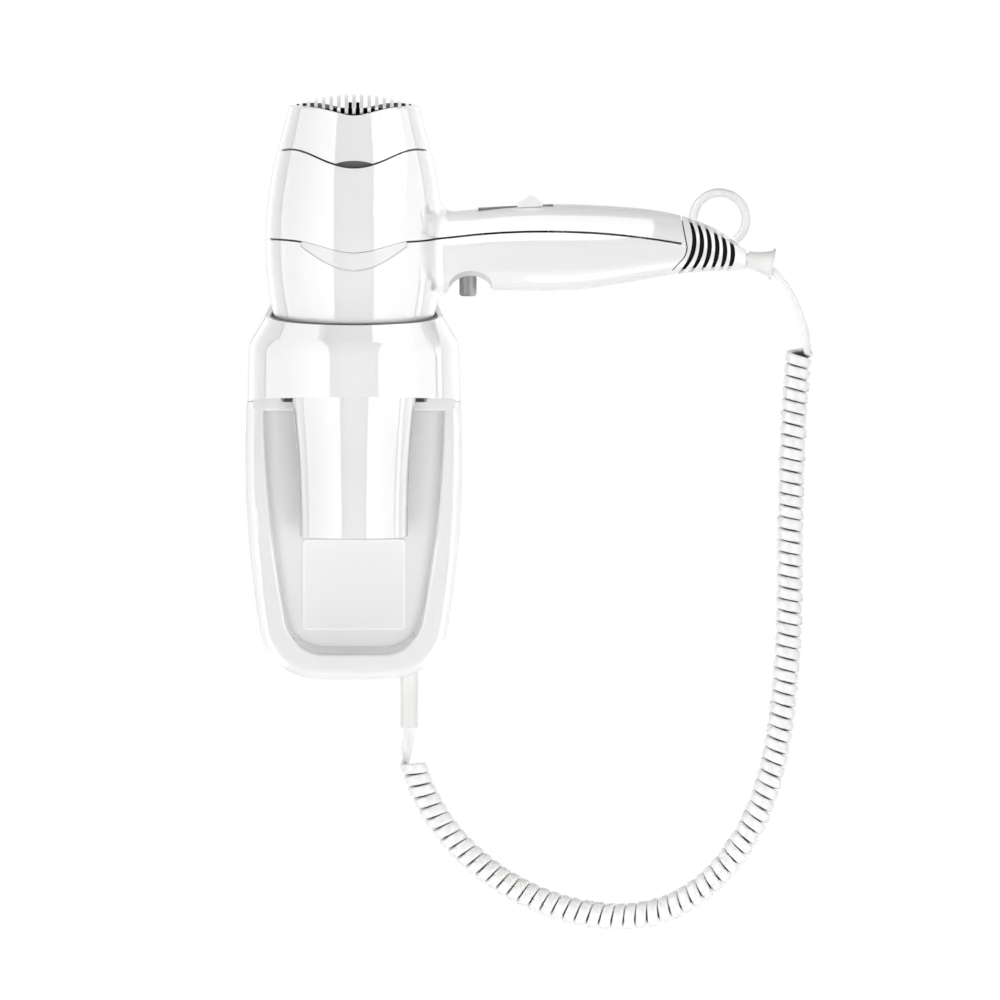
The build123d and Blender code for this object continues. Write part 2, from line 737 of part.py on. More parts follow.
def make_carrier():
    low = BARREL_Z + CARRIER_RISE
    high = low + CARRIER_HEIGHT
    ring_r = inner_r(high) - FIT
    cup_r = MOTOR_R + FIT
    carrier = tube(ring_r, ring_r - CARRIER_WALL, low - CARRIER_SKIRT, high)
    carrier += tube(cup_r + CARRIER_WALL, cup_r, low, high)
    vanes = []
    for i in range(VANE_COUNT):
        turn = Rot(0, 0, 360 * i / VANE_COUNT)
        vane = Pos((cup_r + ring_r) / 2, 0, 0) * Rot(-VANE_LEAN, 0, 0)
        vane *= Box(ring_r - cup_r - CARRIER_WALL, CARRIER_WALL, FAR)
        vanes.append(at_axis((low + high) / 2) * turn * vane & slice_z(low, high))
    return carrier + vanes


def make_heater_frame():
    half = HEATER_COIL_R - HEATER_WIRE_R - FIT / 2
    place = at_axis((HEATER_LOW + HEATER_TOP) / 2)
    cross = place * Box(2 * half, MICA_THICK, HEATER_LENGTH)
    cross += place * Box(MICA_THICK, 2 * half, HEATER_LENGTH)
    feet = place * Box(2 * (SLEEVE_R - HEATER_SLEEVE_WALL - FIT / 2), MICA_THICK, HEATER_LENGTH)
    feet &= slice_z(HEATER_LOW, HEATER_LOW + 2.5) + slice_z(HEATER_TOP - 2.5, HEATER_TOP)
    return cross + feet


def make_heater_coil():
    line = Line((0, AXIS_Y, HEATER_LOW + 6), (0, AXIS_Y, HEATER_TOP - 6))
    return wire_tube(Winding(line, HEATER_COIL_R, HEATER_TURNS).arcs(), HEATER_WIRE_R, WIRE_SIDES)


def make_heater_sleeve():
    return tube(SLEEVE_R, SLEEVE_R - HEATER_SLEEVE_WALL, HEATER_LOW, HEATER_TOP)


def make_cutout():
    return upright(CUTOUT_R, HEATER_TOP, HEATER_TOP + CUTOUT_HEIGHT)


# Nozzle


def nozzle_form(inset, top, bottom):
    start = (NOZZLE_TOP_R - inset, NECK_Z - FIT)
    waist = (NOZZLE_WAIST_R - inset, NECK_Z - FIT - NOZZLE_WAIST)
    end = (NOZZLE_END_R - inset, NOZZLE_END_Z)
    side = ThreePointArc(start, waist, end)
    ends = Polyline(end, (end[0], bottom), (0, bottom), (0, top), (start[0], top), start)
    return revolve(FRONT * make_face(side + ends), axis=BARREL_AXIS)


def make_nozzle():
    top = NECK_Z - FIT
    skin = nozzle_form(0, top + 0.001, NOZZLE_END_Z - 0.001)
    skin -= nozzle_form(NOZZLE_WALL, top + 1, NOZZLE_END_Z - 1)
    spigot_r = NECK_R - SHELL_WALL - FIT
    spigot = tube(spigot_r, spigot_r - NOZZLE_WALL, top - 1.5, NECK_Z + SPIGOT_LENGTH)
    return skin + spigot


def make_outlet_grille():
    top = NECK_Z - FIT - GRILLE_DROP
    low = top - GRILLE_HEIGHT
    inset = NOZZLE_WALL + FIT / 4
    ends = (NECK_Z, NOZZLE_END_Z - 1)
    grille = nozzle_form(inset, *ends) - nozzle_form(inset + GRILLE_BAR, *ends)
    for share in (1, 2):
        ring_r = (NOZZLE_WAIST_R - NOZZLE_WALL) * share / 3
        grille += tube(ring_r + GRILLE_BAR / 2, ring_r - GRILLE_BAR / 2, low, top)
    for angle in (0, 60, 120):
        bar = at_axis((low + top) / 2) * Rot(0, 0, angle) * Box(2 * NOZZLE_TOP_R, GRILLE_BAR, GRILLE_HEIGHT)
        grille += bar & nozzle_form(inset + GRILLE_BAR / 2, *ends)
    return grille & slice_z(low, top)


# Slide switch and push button


def make_bezel():
    plate = Pos(0, 0, -BEZEL_THICK / 2) * Box(BEZEL_LENGTH, BEZEL_WIDTH, BEZEL_THICK)
    slot_length = KNOB_TRAVEL + KNOB_STEM + 2 * RUN_GAP + 2
    slot = Box(slot_length, KNOB_STEM + 2 * RUN_GAP, 4 * BEZEL_THICK)
    return switch_place() * (plate - Pos(KNOB_SHIFT - KNOB_TRAVEL / 2, 0, 0) * slot)


def make_knob():
    low = RUN_GAP
    half = KNOB_LENGTH / 2
    base = low + KNOB_BASE * 0.6
    ridge = Polyline(
        (-half, -KNOB_SKIRT),
        (half, -KNOB_SKIRT),
        (half, base),
        (1.2, low + KNOB_HEIGHT),
        (-0.6, low + KNOB_HEIGHT),
        (-half, base),
        close=True,
    )
    side = Plane(origin=(0, KNOB_WIDTH / 2, 0), x_dir=(1, 0, 0), z_dir=(0, -1, 0))
    cap = extrude(side * make_face(ridge), amount=KNOB_WIDTH)
    cap = fillet(cap.edges().filter_by(Axis.Y).group_by(Axis.Z)[-1], 0.8)
    cap -= Pos(0, 0, low - KNOB_SKIRT) * Box(2 * KNOB_LENGTH, BEZEL_WIDTH + 2 * RUN_GAP, 2 * KNOB_SKIRT)
    stem_drop = BEZEL_THICK + SWITCH_DROP - 1.0
    stem = Pos(0, 0, (low - stem_drop) / 2 + 0.2) * Box(KNOB_STEM, KNOB_STEM, stem_drop + low + 0.4)
    knob = switch_place(KNOB_SHIFT) * (cap + stem)
    along = switch_place().x_dir
    crown = grip_solid(-RUN_GAP) - switch_place() * Box(2 * BEZEL_LENGTH, BEZEL_WIDTH + 2 * RUN_GAP, FAR)
    for step in range(5):
        knob -= Pos(*(along * (KNOB_TRAVEL * step / 4))) * crown
    return knob


def make_switch_unit():
    width = BEZEL_LENGTH - 6.0
    top = BARREL_Z + SWITCH_RISE - SWITCH_DROP
    block = Pos(SWITCH_X, AXIS_Y, top - SWITCH_BODY / 2) * Box(width, 12.0, SWITCH_BODY)
    length = KNOB_TRAVEL + KNOB_STEM + 6.0
    place = switch_place(KNOB_SHIFT - KNOB_TRAVEL / 2) * Pos(0, 0, -SWITCH_DROP)
    return block - place * Box(length, KNOB_STEM + 2.0, 11.0)


def make_button():
    stem = Pos(BUTTON_X, AXIS_Y, (BUTTON_LOW + BUTTON_SEAT) / 2)
    stem *= Cylinder(BUTTON_R, BUTTON_SEAT - BUTTON_LOW)
    stem = fillet(stem.edges().group_by(Axis.Z)[0], BUTTON_ROUND)
    flange = Pos(BUTTON_X, AXIS_Y, BUTTON_SEAT + BUTTON_FLANGE / 2)
    return stem + flange * Cylinder(BUTTON_FLANGE_R, BUTTON_FLANGE)


def make_button_spring():
    inset = SPRING_WIRE / 2 + 0.05
    line = Line((BUTTON_X, AXIS_Y, SPRING_LOW + inset), (BUTTON_X, AXIS_Y, SPRING_HIGH - inset))
    return wire_tube(Winding(line, SPRING_R, SPRING_TURNS).arcs(), SPRING_WIRE / 2, WIRE_SIDES)


def make_button_switch():
    right = SWITCH_X - (BEZEL_LENGTH - 6.0) / 2
    left = BUTTON_X - 6.5
    return Pos((left + right) / 2, AXIS_Y, SPRING_HIGH + 4.5) * Box(right - left, 9.0, 9.0)


def make_shell_screws():
    shank = screw_posts(SCREW_R, SCREW_LOW, SCREW_TOP - 1.0)
    heads = screw_posts(SCREW_HEAD_R, SCREW_LOW - SCREW_HEAD, SCREW_LOW)
    return shank + heads


# Cord end of the handle


def sleeve_zone(solid):
    """The part of the grip beyond its end line, with the hole for the bush."""
    plane = bush_plane()
    root = Cylinder(BUSH_ROOT_R + FIT / 4, 2 * BUSH_ROOT + FIT)
    return solid - handle_end(END_GAP) - Plane(origin=plane.origin, z_dir=plane.x_dir) * root


def grip_at(x):
    """Centre height and half height of the grip at a reach."""
    for first, last in zip(GRIP_STATIONS, GRIP_STATIONS[1:]):
        if x <= last[0]:
            break
    share = (x - first[0]) / (last[0] - first[0])
    return [a + (b - a) * share for a, b in zip(first[1:3], last[1:3])]


def slot_face(i):
    """One curved slot of the sleeve, narrowing to both ends."""
    share = i / (SLOT_COUNT - 1)
    lean = SLOT_LEAN[0] + (SLOT_LEAN[1] - SLOT_LEAN[0]) * share
    sweep_back = SLOT_SWEEP[1] + (SLOT_SWEEP[0] - SLOT_SWEEP[1]) * (1 - share) ** 2
    x = SLOT_FIRST_X + i * SLOT_PITCH
    top_x, low_x = x - lean, x - sweep_back
    top = rise(top_x, sum(grip_at(top_x)))
    low_centre, low_half = grip_at(low_x)
    low = rise(low_x, low_centre - low_half)
    middle = rise(x, grip_at(x)[0])
    tip, half = SLOT_TIP / 2, SLOT_WIDTH / 2
    right = ThreePointArc((low[0] + tip, low[1]), (middle[0] + half, middle[1]), (top[0] + tip, top[1]))
    left = ThreePointArc((top[0] - tip, top[1]), (middle[0] - half, middle[1]), (low[0] - tip, low[1]))
    return make_face(right + Line(right @ 1, left @ 0) + left + Line(left @ 1, right @ 0))


def make_end_sleeve():
    sleeve = sleeve_zone(grip_solid(0) - grip_solid(SLEEVE_WALL))
    bridge = Pos(0, AXIS_Y, BARREL_Z) * Box(FAR, SLOT_BRIDGE, FAR)
    for i in range(SLOT_COUNT):
        sleeve -= across(slot_face(i)) - bridge
    return sleeve


def make_sleeve_core():
    core = sleeve_zone(grip_solid(SLEEVE_WALL + FIT / 2))
    gap_fill = grip_solid(SHELL_WALL + FIT) & handle_end(END_GAP)
    return core + (gap_fill - handle_end(FIT / 2))


def make_loop():
    centre = Plane(origin=(LOOP_X, AXIS_Y, BARREL_Z + LOOP_RISE), x_dir=(1, 0, 0), z_dir=(0, -1, 0))
    arc = centre * CenterArc((0, 0), LOOP_R, LOOP_START, LOOP_ARC)
    ring = sweep(Plane(origin=arc @ 0, z_dir=arc % 0) * Circle(LOOP_WIRE_R), path=arc)
    return (ring - grip_solid(0)).solids().sort_by(SortBy.VOLUME)[-1]


def bush_plane():
    reach, drop = GRIP_STATIONS[-1][0], GRIP_STATIONS[-1][1]
    tilt = math.radians(BUSH_TILT)
    along = Vector(math.cos(tilt), 0, -math.sin(tilt))
    return Plane(origin=(reach, AXIS_Y, BARREL_Z + drop), x_dir=along, z_dir=(0, -1, 0))


def make_bush():
    end = BUSH_LENGTH + BUSH_FLANGE
    start = BUSH_NECK_R * math.sin(math.radians(BUSH_TILT)) + FIT / 4
    middle = (BUSH_LENGTH * 0.55, BUSH_NECK_R + 0.7)
    flare = ThreePointArc((start, BUSH_NECK_R), middle, (BUSH_LENGTH, BUSH_MOUTH_R))
    lip = Polyline(
        (BUSH_LENGTH, BUSH_MOUTH_R),
        (BUSH_LENGTH, BUSH_FLANGE_R),
        (end, BUSH_FLANGE_R),
        (end, BUSH_MOUTH_R - 0.4),
    )
    bore_start = end - BUSH_BORE_DEPTH
    bell = ThreePointArc(
        (end, BUSH_MOUTH_R - 0.4),
        (end - BUSH_BORE_DEPTH * 0.4, WIRE_R + 2.3),
        (bore_start, WIRE_R + BORE_GAP),
    )
    inside = Polyline(
        (bore_start, WIRE_R + BORE_GAP),
        (bore_start, 0),
        (-BUSH_ROOT, 0),
        (-BUSH_ROOT, BUSH_ROOT_R),
        (start, BUSH_ROOT_R),
        (start, BUSH_NECK_R),
    )
    plane = bush_plane()
    return revolve(plane * make_face(flare + lip + bell + inside), axis=Axis(plane.origin, plane.x_dir))


# Holder


def tray_outline(inset):
    top = (COLLAR_R - inset, TRAY_TOP_Z)
    side = (TRAY_HALF - inset, TRAY_BULGE_Z)
    low = (TRAY_LOW_HALF - inset, TRAY_LOW_Z + inset)
    right = ThreePointArc(top, side, low)
    bottom = ThreePointArc(low, (0, TRAY_LOW_Z - TRAY_SAG + inset), (-low[0], low[1]))
    left = ThreePointArc((-low[0], low[1]), (-side[0], side[1]), (-top[0], top[1]))
    face = make_face(right + bottom + left + Line(left @ 1, right @ 0))
    return fillet(face.vertices().group_by(Axis.Y)[0], TRAY_CORNER_R - inset)


def pocket_outline(top_half, mid_half, low_half, low_z, corner, grow):
    top = (top_half + grow, POCKET_TOP_Z + grow)
    middle = (mid_half + grow, POCKET_MID_Z)
    low = (low_half + grow, low_z - grow)
    right = ThreePointArc(top, middle, low)
    left = ThreePointArc((-low[0], low[1]), (-middle[0], middle[1]), (-top[0], top[1]))
    face = make_face(right + Line(right @ 1, left @ 0) + left + Line(left @ 1, right @ 0))
    return fillet(face.vertices().group_by(Axis.Y)[0], corner + grow)


def pocket(grow, floor):
    """Tapering tray hollow from the front down to its floor."""
    mouth = pocket_outline(
        POCKET_TOP_HALF, POCKET_MID_HALF, POCKET_LOW_HALF, POCKET_LOW_Z, POCKET_CORNER_R, grow
    )
    floor_top = POCKET_TOP_HALF - FLOOR_IN
    floor_mid = POCKET_MID_HALF - FLOOR_IN
    base = pocket_outline(floor_top, floor_mid, FLOOR_LOW_HALF, FLOOR_LOW_Z, FLOOR_CORNER_R, grow)
    front = WALL.offset(TRAY_DEPTH) * mouth
    return loft([front, WALL.offset(-floor) * base], ruled=True)


def tilted_half(z, tilt, side):
    """Half space above (+1) or below (-1) a plane that tips towards the front."""
    return Pos(0, AXIS_Y, z) * Rot(tilt, 0, 0) * Pos(0, 0, side * FAR / 2) * Box(2 * FAR, 2 * FAR, FAR)


def below_collar(gap):
    return tilted_half(COLLAR_LOW_Z - gap, -COLLAR_LOW_TILT, -1)


def lock_screw_place(z):
    return Pos(0, LOCK_HEAD_R - LUG_DEPTH, z)


def tongue():
    """Upright front wall of the housing that stands inside the collar."""
    wall = collar_form(COLLAR_WALL + RUN_GAP) & slice_z(POCKET_TOP_Z + TRAY_WALL / 2, TONGUE_TOP_Z)
    wall &= Pos(0, TRAY_WALL / 2 - TRAY_DEPTH, 0) * Box(FAR, TRAY_WALL, FAR)
    return wall - upright(NOZZLE_TOP_R + TONGUE_CLEAR, 0, COLLAR_RIM_Z)


def make_housing():
    skin = extrude(WALL * tray_outline(0), amount=TRAY_DEPTH)
    skin = fillet(skin.faces().sort_by(Axis.Y)[0].edges().sort_by(Axis.Z)[:-1], TRAY_EDGE_R)
    skin -= pocket(0, FLOOR_Y)
    mouth = skin.faces().sort_by(Axis.Y)[0].inner_wires()[0]
    skin = fillet(mouth.edges(), POCKET_EDGE_R)
    core = extrude(WALL * tray_outline(TRAY_WALL), amount=TRAY_DEPTH - TRAY_WALL)
    core = fillet(core.faces().sort_by(Axis.Y)[0].edges().sort_by(Axis.Z)[:-1], TRAY_EDGE_R - TRAY_WALL)
    core -= pocket(TRAY_WALL, FLOOR_Y + TRAY_WALL)
    core &= below_collar(TRAY_WALL)
    housing = (skin & below_collar(FIT)) - core + tongue()
    housing -= upright(NOZZLE_TOP_R + NOZZLE_CLEAR, 0, COLLAR_RIM_Z)
    housing -= Pos(GLAND_X, GLAND_Y, TRAY_LOW_Z) * Cylinder(GLAND_R + FIT, 24)
    housing -= lock_screw_place(TRAY_LOW_Z) * Cylinder(LOCK_SCREW_R + FIT, 12)
    sink = LOCK_HEAD + FIT
    housing -= lock_screw_place(TRAY_LOW_Z - TRAY_SAG) * Cylinder(LOCK_HEAD_R + FIT, 2 * sink)
    return housing.solids().sort_by(SortBy.VOLUME)[-1]


def collar_form(inset):
    """Half round at the front, straight back to the wall at both sides."""
    low = (COLLAR_R - inset, COLLAR_LOW_Z - 20)
    shoulder = (COLLAR_R - COLLAR_SHOULDER_IN - inset, COLLAR_SHOULDER_Z)
    top = (COLLAR_R - COLLAR_TOP_IN - inset, COLLAR_TOP_Z)
    side = FilletPolyline(low, shoulder, top, radius=COLLAR_BEND)
    half = make_face(side + Polyline(top, (0, top[1]), (0, low[1]), low))
    front = revolve(FRONT * half, axis=BARREL_AXIS)
    back = extrude(FRONT * (half + mirror(half, about=Plane.YZ)), amount=AXIS_Y)
    return front + back


def below_rim(rise_by):
    """All below the collar's rim, which climbs behind the barrel axis."""
    front = tilted_half(COLLAR_RIM_Z + rise_by, COLLAR_RIM_TILT, -1)
    return front + tilted_half(COLLAR_RIM_Z + rise_by, COLLAR_BACK_TILT, -1)


def make_collar():
    band = collar_form(0) - collar_form(COLLAR_WALL)
    rear = Pos(0, COLLAR_BACK_Y - COLLAR_WALL / 2, 0) * Box(FAR, COLLAR_WALL, FAR)
    band += collar_form(COLLAR_WALL / 2) & rear
    band &= tilted_half(COLLAR_LOW_Z, -COLLAR_LOW_TILT, 1)
    band &= below_rim(0)
    band -= barrel_solid(-SEAT_GAP)
    return band & (Pos(0, -FAR / 2, 0) * Box(FAR, FAR, FAR))


def make_seat():
    """Dark funnel under the barrel, with a lip that fills the collar's mouth."""
    space = collar_form(COLLAR_WALL + FIT / 4)
    space -= Pos(0, COLLAR_BACK_Y - COLLAR_WALL - FIT / 4 + FAR / 2, COLLAR_RIM_Z) * Box(FAR, FAR, FAR)
    skirt = barrel_solid(-SEAT_GAP - SEAT_WALL) & slice_z(SEAT_LOW_Z, SEAT_DECK_Z)
    deck = space & slice_z(SEAT_DECK_Z - SEAT_WALL, SEAT_DECK_Z)
    lip = space & barrel_solid(-SEAT_GAP - LIP_WIDTH) & slice_z(SEAT_DECK_Z - SEAT_WALL, FAR)
    lip &= below_rim(LIP_RISE)
    return (skirt + deck + lip) - barrel_solid(-SEAT_GAP)


def make_panel():
    place = Plane(origin=(0, FLOOR_Y, PANEL_TOP_Z - PANEL_HEIGHT / 2), x_dir=(1, 0, 0), z_dir=(0, -1, 0))
    panel = extrude(place * RectangleRounded(PANEL_WIDTH, PANEL_HEIGHT, PANEL_CORNER_R), amount=PANEL_THICK)
    inside = RectangleRounded(
        PANEL_WIDTH - 2 * PANEL_FRAME, PANEL_HEIGHT - 2 * PANEL_FRAME, PANEL_CORNER_R - PANEL_FRAME
    )
    return panel - extrude(place.offset(PANEL_THICK) * inside, amount=-PANEL_SINK)


def make_plate():
    plate = extrude(WALL * tray_outline(TRAY_WALL + PLATE_MARGIN), amount=PLATE_THICK)
    plate &= slice_z(-FAR, PLATE_TOP_Z)
    hole = Rot(90, 0, 0) * Cylinder(MOUNT_HOLE_R, 4 * PLATE_THICK)
    for side in (-1, 1):
        plate -= Pos(0, 0, side * MOUNT_SPACING / 2) * hole
    lug_low = TRAY_LOW_Z - TRAY_SAG + TRAY_WALL + PLATE_MARGIN
    lug = Pos(0, -LUG_DEPTH / 2 - PLATE_THICK / 2, lug_low + LUG_HEIGHT / 2)
    plate += lug * Box(LUG_WIDTH, LUG_DEPTH, LUG_HEIGHT)
    return plate - lock_screw_place(lug_low) * Cylinder(LOCK_SCREW_R + FIT / 4, 4 * LUG_HEIGHT)


def make_terminal_block():
    block = Pos(0, -PLATE_THICK - TERMINAL_DEPTH / 2, 0)
    block *= Box(TERMINAL_WIDTH, TERMINAL_DEPTH, TERMINAL_HEIGHT)
    return fillet(block.edges().filter_by(Axis.Z), 0.8)


def make_terminal_screws():
    pitch = TERMINAL_WIDTH / TERMINAL_COUNT
    screw = Rot(90, 0, 0) * Cylinder(TERMINAL_SCREW_R, TERMINAL_SCREW_HEAD)
    front_y = -PLATE_THICK - TERMINAL_DEPTH - TERMINAL_SCREW_HEAD / 2
    screws = []
    for i in range(TERMINAL_COUNT):
        x = (i - (TERMINAL_COUNT - 1) / 2) * pitch
        screws.append(Pos(x, front_y, 0) * screw)
    return Part() + screws


def make_clamp():
    place = Pos(GLAND_X, -PLATE_THICK - TERMINAL_DEPTH / 2, CLAMP_Z)
    bore = Cylinder(WIRE_R + FIT, 2 * CLAMP_HEIGHT)
    return place * (Box(CLAMP_WIDTH, TERMINAL_DEPTH, CLAMP_HEIGHT) - bore)


def make_lock_screw():
    low = TRAY_LOW_Z - TRAY_SAG + FIT / 2
    head = lock_screw_place(low + LOCK_HEAD / 2) * Cylinder(LOCK_HEAD_R, LOCK_HEAD)
    head = fillet(head.edges().group_by(Axis.Z)[0], 0.6)
    return head + lock_screw_place(low + LOCK_HEAD + 4.0) * Cylinder(LOCK_SCREW_R, 9.0)


def make_gland():
    place = Pos(GLAND_X, GLAND_Y, 0)
    body = place * Pos(0, 0, (GLAND_TOP + GLAND_END) / 2) * Cylinder(GLAND_R, GLAND_TOP - GLAND_END)
    body = fillet(body.edges().group_by(Axis.Z)[0], 0.8)
    flange = place * Pos(0, 0, GLAND_TOP - GLAND_FLANGE / 2) * Cylinder(GLAND_FLANGE_R, GLAND_FLANGE)
    bore = place * Pos(0, 0, GLAND_END) * Cylinder(WIRE_R + BORE_GAP, 2 * GLAND_BORE_DEPTH)
    return body + flange - bore


# Cord


def make_cord():
    """Lower lead, curls and upper lead, end to end."""
    line = cord_route(CURL_LINE)
    curl = Winding(line, CURL_R, CURLS, CURL_PHASE, CURL_TWIST)
    run = 2 * WIRE_R
    down, up = Vector(0, 0, -1), line % 1
    first, last = curl.point(0), curl.point(CURLS)
    start_dir, end_dir = curl.ahead(0), curl.ahead(CURLS)
    start = first - (start_dir + down) * CURL_BEND
    end = last + (end_dir + up) * CURL_BEND
    low_end, high_end = start - down * run, end + up * run
    arcs = curl.arcs()
    edges = [Line(low_end, start)] + biarc(start, down, first, start_dir) + arcs
    edges += biarc(last, end_dir, end, up) + [Line(end, high_end)]
    curls = wire_tube(edges, WIRE_R, WIRE_SIDES)
    tightest = min(arc.radius for arc in arcs)
    print("curls: least gap", round(curl.least_gap(WIRE_R), 2), "mm, tightest arc", round(tightest, 2))
    print("curls: pitch", round(line.length / CURLS, 2), "wire", round(Wire(edges).length), "mm")

    lead_top = Vector(GLAND_X, GLAND_Y, GLAND_END + GLAND_BORE_DEPTH)
    lead_low = lead_top + down * (GLAND_BORE_DEPTH + LOWER_LEAD_REACH)
    lower = [lead_top, lead_low, low_end - down * LOWER_LEAD_RUN, low_end]
    bush = bush_plane()
    bore = bush.origin + bush.x_dir * (BUSH_LENGTH + BUSH_FLANGE - BUSH_BORE_DEPTH + BORE_GAP)
    upper = [bore, *[Vector(*point) for point in UPPER_LEAD], high_end + up * 9.0, high_end]
    leads = []
    for points in (lower, upper):
        route = cord_route([tuple(point) for point in points])
        lead = wire_tube(route.edges(), WIRE_R, WIRE_SIDES)
        area = RegularPolygon(WIRE_R, WIRE_SIDES).area
        ratio = lead.volume / (area * route.length)
        print("lead", round(route.length, 1), "mm, volume ratio", round(ratio, 4))
        leads.append(lead)
    return leads[0], curls, leads[1]


# All pieces


def make_all():
    body = make_body()
    lower_lead, curls, upper_lead = make_cord()
    return {
        "wall_plate": make_plate(),
        "holder_housing": make_housing(),
        "holder_collar": make_collar(),
        "seat_ring": make_seat(),
        "label_panel": make_panel(),
        "terminal_block": make_terminal_block(),
        "terminal_screws": make_terminal_screws(),
        "cord_clamp": make_clamp(),
        "lock_screw": make_lock_screw(),
        "cord_gland": make_gland(),
        "cord_lower_lead": lower_lead,
        "curly_cord": curls,
        "cord_upper_lead": upper_lead,
        "front_shell": make_front_shell(body),
        "rear_shell": make_rear_shell(body),
        "crescent_trim": make_crescent(),
        "front_nozzle": make_nozzle(),
        "outlet_grille": make_outlet_grille(),
        "heater_frame": make_heater_frame(),
        "heater_coil": make_heater_coil(),
        "heater_sleeve": make_heater_sleeve(),
        "thermal_cutout": make_cutout(),
        "motor_can": make_motor(),
        "motor_carrier": make_carrier(),
        "motor_shaft": make_shaft(),
        "fan_impeller": make_fan(),
        "switch_bezel": make_bezel(),
        "switch_knob": make_knob(),
        "switch_unit": make_switch_unit(),
        "push_button": make_button(),
        "button_spring": make_button_spring(),
        "button_switch": make_button_switch(),
        "shell_screws": make_shell_screws(),
        "end_sleeve": make_end_sleeve(),
        "sleeve_core": make_sleeve_core(),
        "hanging_loop": make_loop(),
        "cord_bush": make_bush(),
        "intake_cap": make_cap(body),
        "cap_ring": make_cap_ring(),
        "intake_grille": make_intake_grille(),
        "intake_liner": make_liner(),
        "filter_screen": make_filter(),
    }


os.makedirs("parts", exist_ok=True)
for node, shape in make_all().items():
    export_step(shape, f"parts/{node}.step")
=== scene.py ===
# %% [markdown]
# # A white wall hair dryer in its holder
#
# The solid pieces of the dryer and its holder are loaded as a fixed frame, in metres, with the
# wall at Y = 0 and the front facing -Y. This lesson adds what the solids lack: the camera and the
# soft light of a product picture, the curly cord as it really hangs, the finish of every piece,
# and a copy of the spring under the push button.

# %% Load the frame
import json
import math

import bpy
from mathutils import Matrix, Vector


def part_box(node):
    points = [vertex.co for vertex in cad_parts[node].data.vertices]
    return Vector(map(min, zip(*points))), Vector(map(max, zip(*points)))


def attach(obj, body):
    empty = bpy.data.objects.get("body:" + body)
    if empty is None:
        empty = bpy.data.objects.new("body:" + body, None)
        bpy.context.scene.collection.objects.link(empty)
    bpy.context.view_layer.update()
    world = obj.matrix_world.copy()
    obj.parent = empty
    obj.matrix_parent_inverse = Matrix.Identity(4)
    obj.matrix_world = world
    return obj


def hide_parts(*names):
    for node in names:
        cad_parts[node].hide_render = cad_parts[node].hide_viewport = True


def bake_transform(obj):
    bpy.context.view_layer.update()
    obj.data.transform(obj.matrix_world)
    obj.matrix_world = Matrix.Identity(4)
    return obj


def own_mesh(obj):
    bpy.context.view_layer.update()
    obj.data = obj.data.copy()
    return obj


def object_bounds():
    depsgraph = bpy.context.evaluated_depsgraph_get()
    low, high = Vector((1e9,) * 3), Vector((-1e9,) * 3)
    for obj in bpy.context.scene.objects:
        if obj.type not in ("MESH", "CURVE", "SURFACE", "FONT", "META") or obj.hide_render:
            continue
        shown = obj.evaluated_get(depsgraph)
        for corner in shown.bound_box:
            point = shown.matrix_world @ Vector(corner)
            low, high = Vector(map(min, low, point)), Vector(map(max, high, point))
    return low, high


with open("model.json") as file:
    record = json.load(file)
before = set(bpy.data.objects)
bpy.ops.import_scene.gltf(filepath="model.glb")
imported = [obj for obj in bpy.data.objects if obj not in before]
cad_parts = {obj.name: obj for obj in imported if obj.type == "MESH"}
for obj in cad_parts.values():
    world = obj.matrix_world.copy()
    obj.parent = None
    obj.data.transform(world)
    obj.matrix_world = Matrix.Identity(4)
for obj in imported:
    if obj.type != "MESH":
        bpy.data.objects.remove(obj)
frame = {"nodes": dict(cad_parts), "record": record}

CAD_BOX = [list(corner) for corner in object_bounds()]
MM = 0.001

# %% [markdown]
# ## Camera
#
# The picture is taken from the front, a few degrees from above, from so far away that the barrel
# and the holder show no vanishing lines. A long lens far back would do, but an orthographic camera
# says the same thing with one size: the width of what it sees.

# %% Camera
VIEW_WIDTH = 0.5
VIEW_ELEVATION = math.radians(3.0)
VIEW_CENTRE = Vector((0.073, -0.052, -0.0025))
VIEW_DISTANCE = 2.5

camera_data = bpy.data.cameras.new("camera")
camera_data.type = "ORTHO"
camera_data.ortho_scale = VIEW_WIDTH
camera_data.sensor_fit = "HORIZONTAL"
camera = bpy.data.objects.new("camera", camera_data)
bpy.context.scene.collection.objects.link(camera)
toward_camera = Vector((0, -math.cos(VIEW_ELEVATION), math.sin(VIEW_ELEVATION)))
camera.location = VIEW_CENTRE + toward_camera * VIEW_DISTANCE
camera.rotation_euler = (math.pi / 2 - VIEW_ELEVATION, 0, 0)
bpy.context.scene.camera = camera
bpy.context.scene.view_settings.view_transform = "Standard"
print("camera sees", VIEW_WIDTH, "m from", tuple(round(x, 3) for x in camera.location))

# %% [markdown]
# ## White background
#
# The dryer is shown before plain white. A white backdrop could be built and lit, but it would throw
# its light back on the object. Here the world itself is white for the eye, in reflections and
# through clear pieces, and the light that it gives the object is set apart, and low.

# %% World
WORLD_LIGHT = 0.1

world = bpy.data.worlds.new("studio")
bpy.context.scene.world = world
world.use_nodes = True
nodes, links = world.node_tree.nodes, world.node_tree.links
nodes.clear()
output = nodes.new("ShaderNodeOutputWorld")
light_path = nodes.new("ShaderNodeLightPath")
seen = nodes.new("ShaderNodeMath")
seen.operation = "MAXIMUM"
seen_all = nodes.new("ShaderNodeMath")
seen_all.operation = "MAXIMUM"
white = nodes.new("ShaderNodeBackground")
white.inputs["Strength"].default_value = 1.0
soft = nodes.new("ShaderNodeBackground")
soft.inputs["Strength"].default_value = WORLD_LIGHT
for background in (white, soft):
    background.inputs["Color"].default_value = (1, 1, 1, 1)
mix = nodes.new("ShaderNodeMixShader")
links.new(light_path.outputs["Is Camera Ray"], seen.inputs[0])
links.new(light_path.outputs["Is Glossy Ray"], seen.inputs[1])
links.new(seen.outputs[0], seen_all.inputs[0])
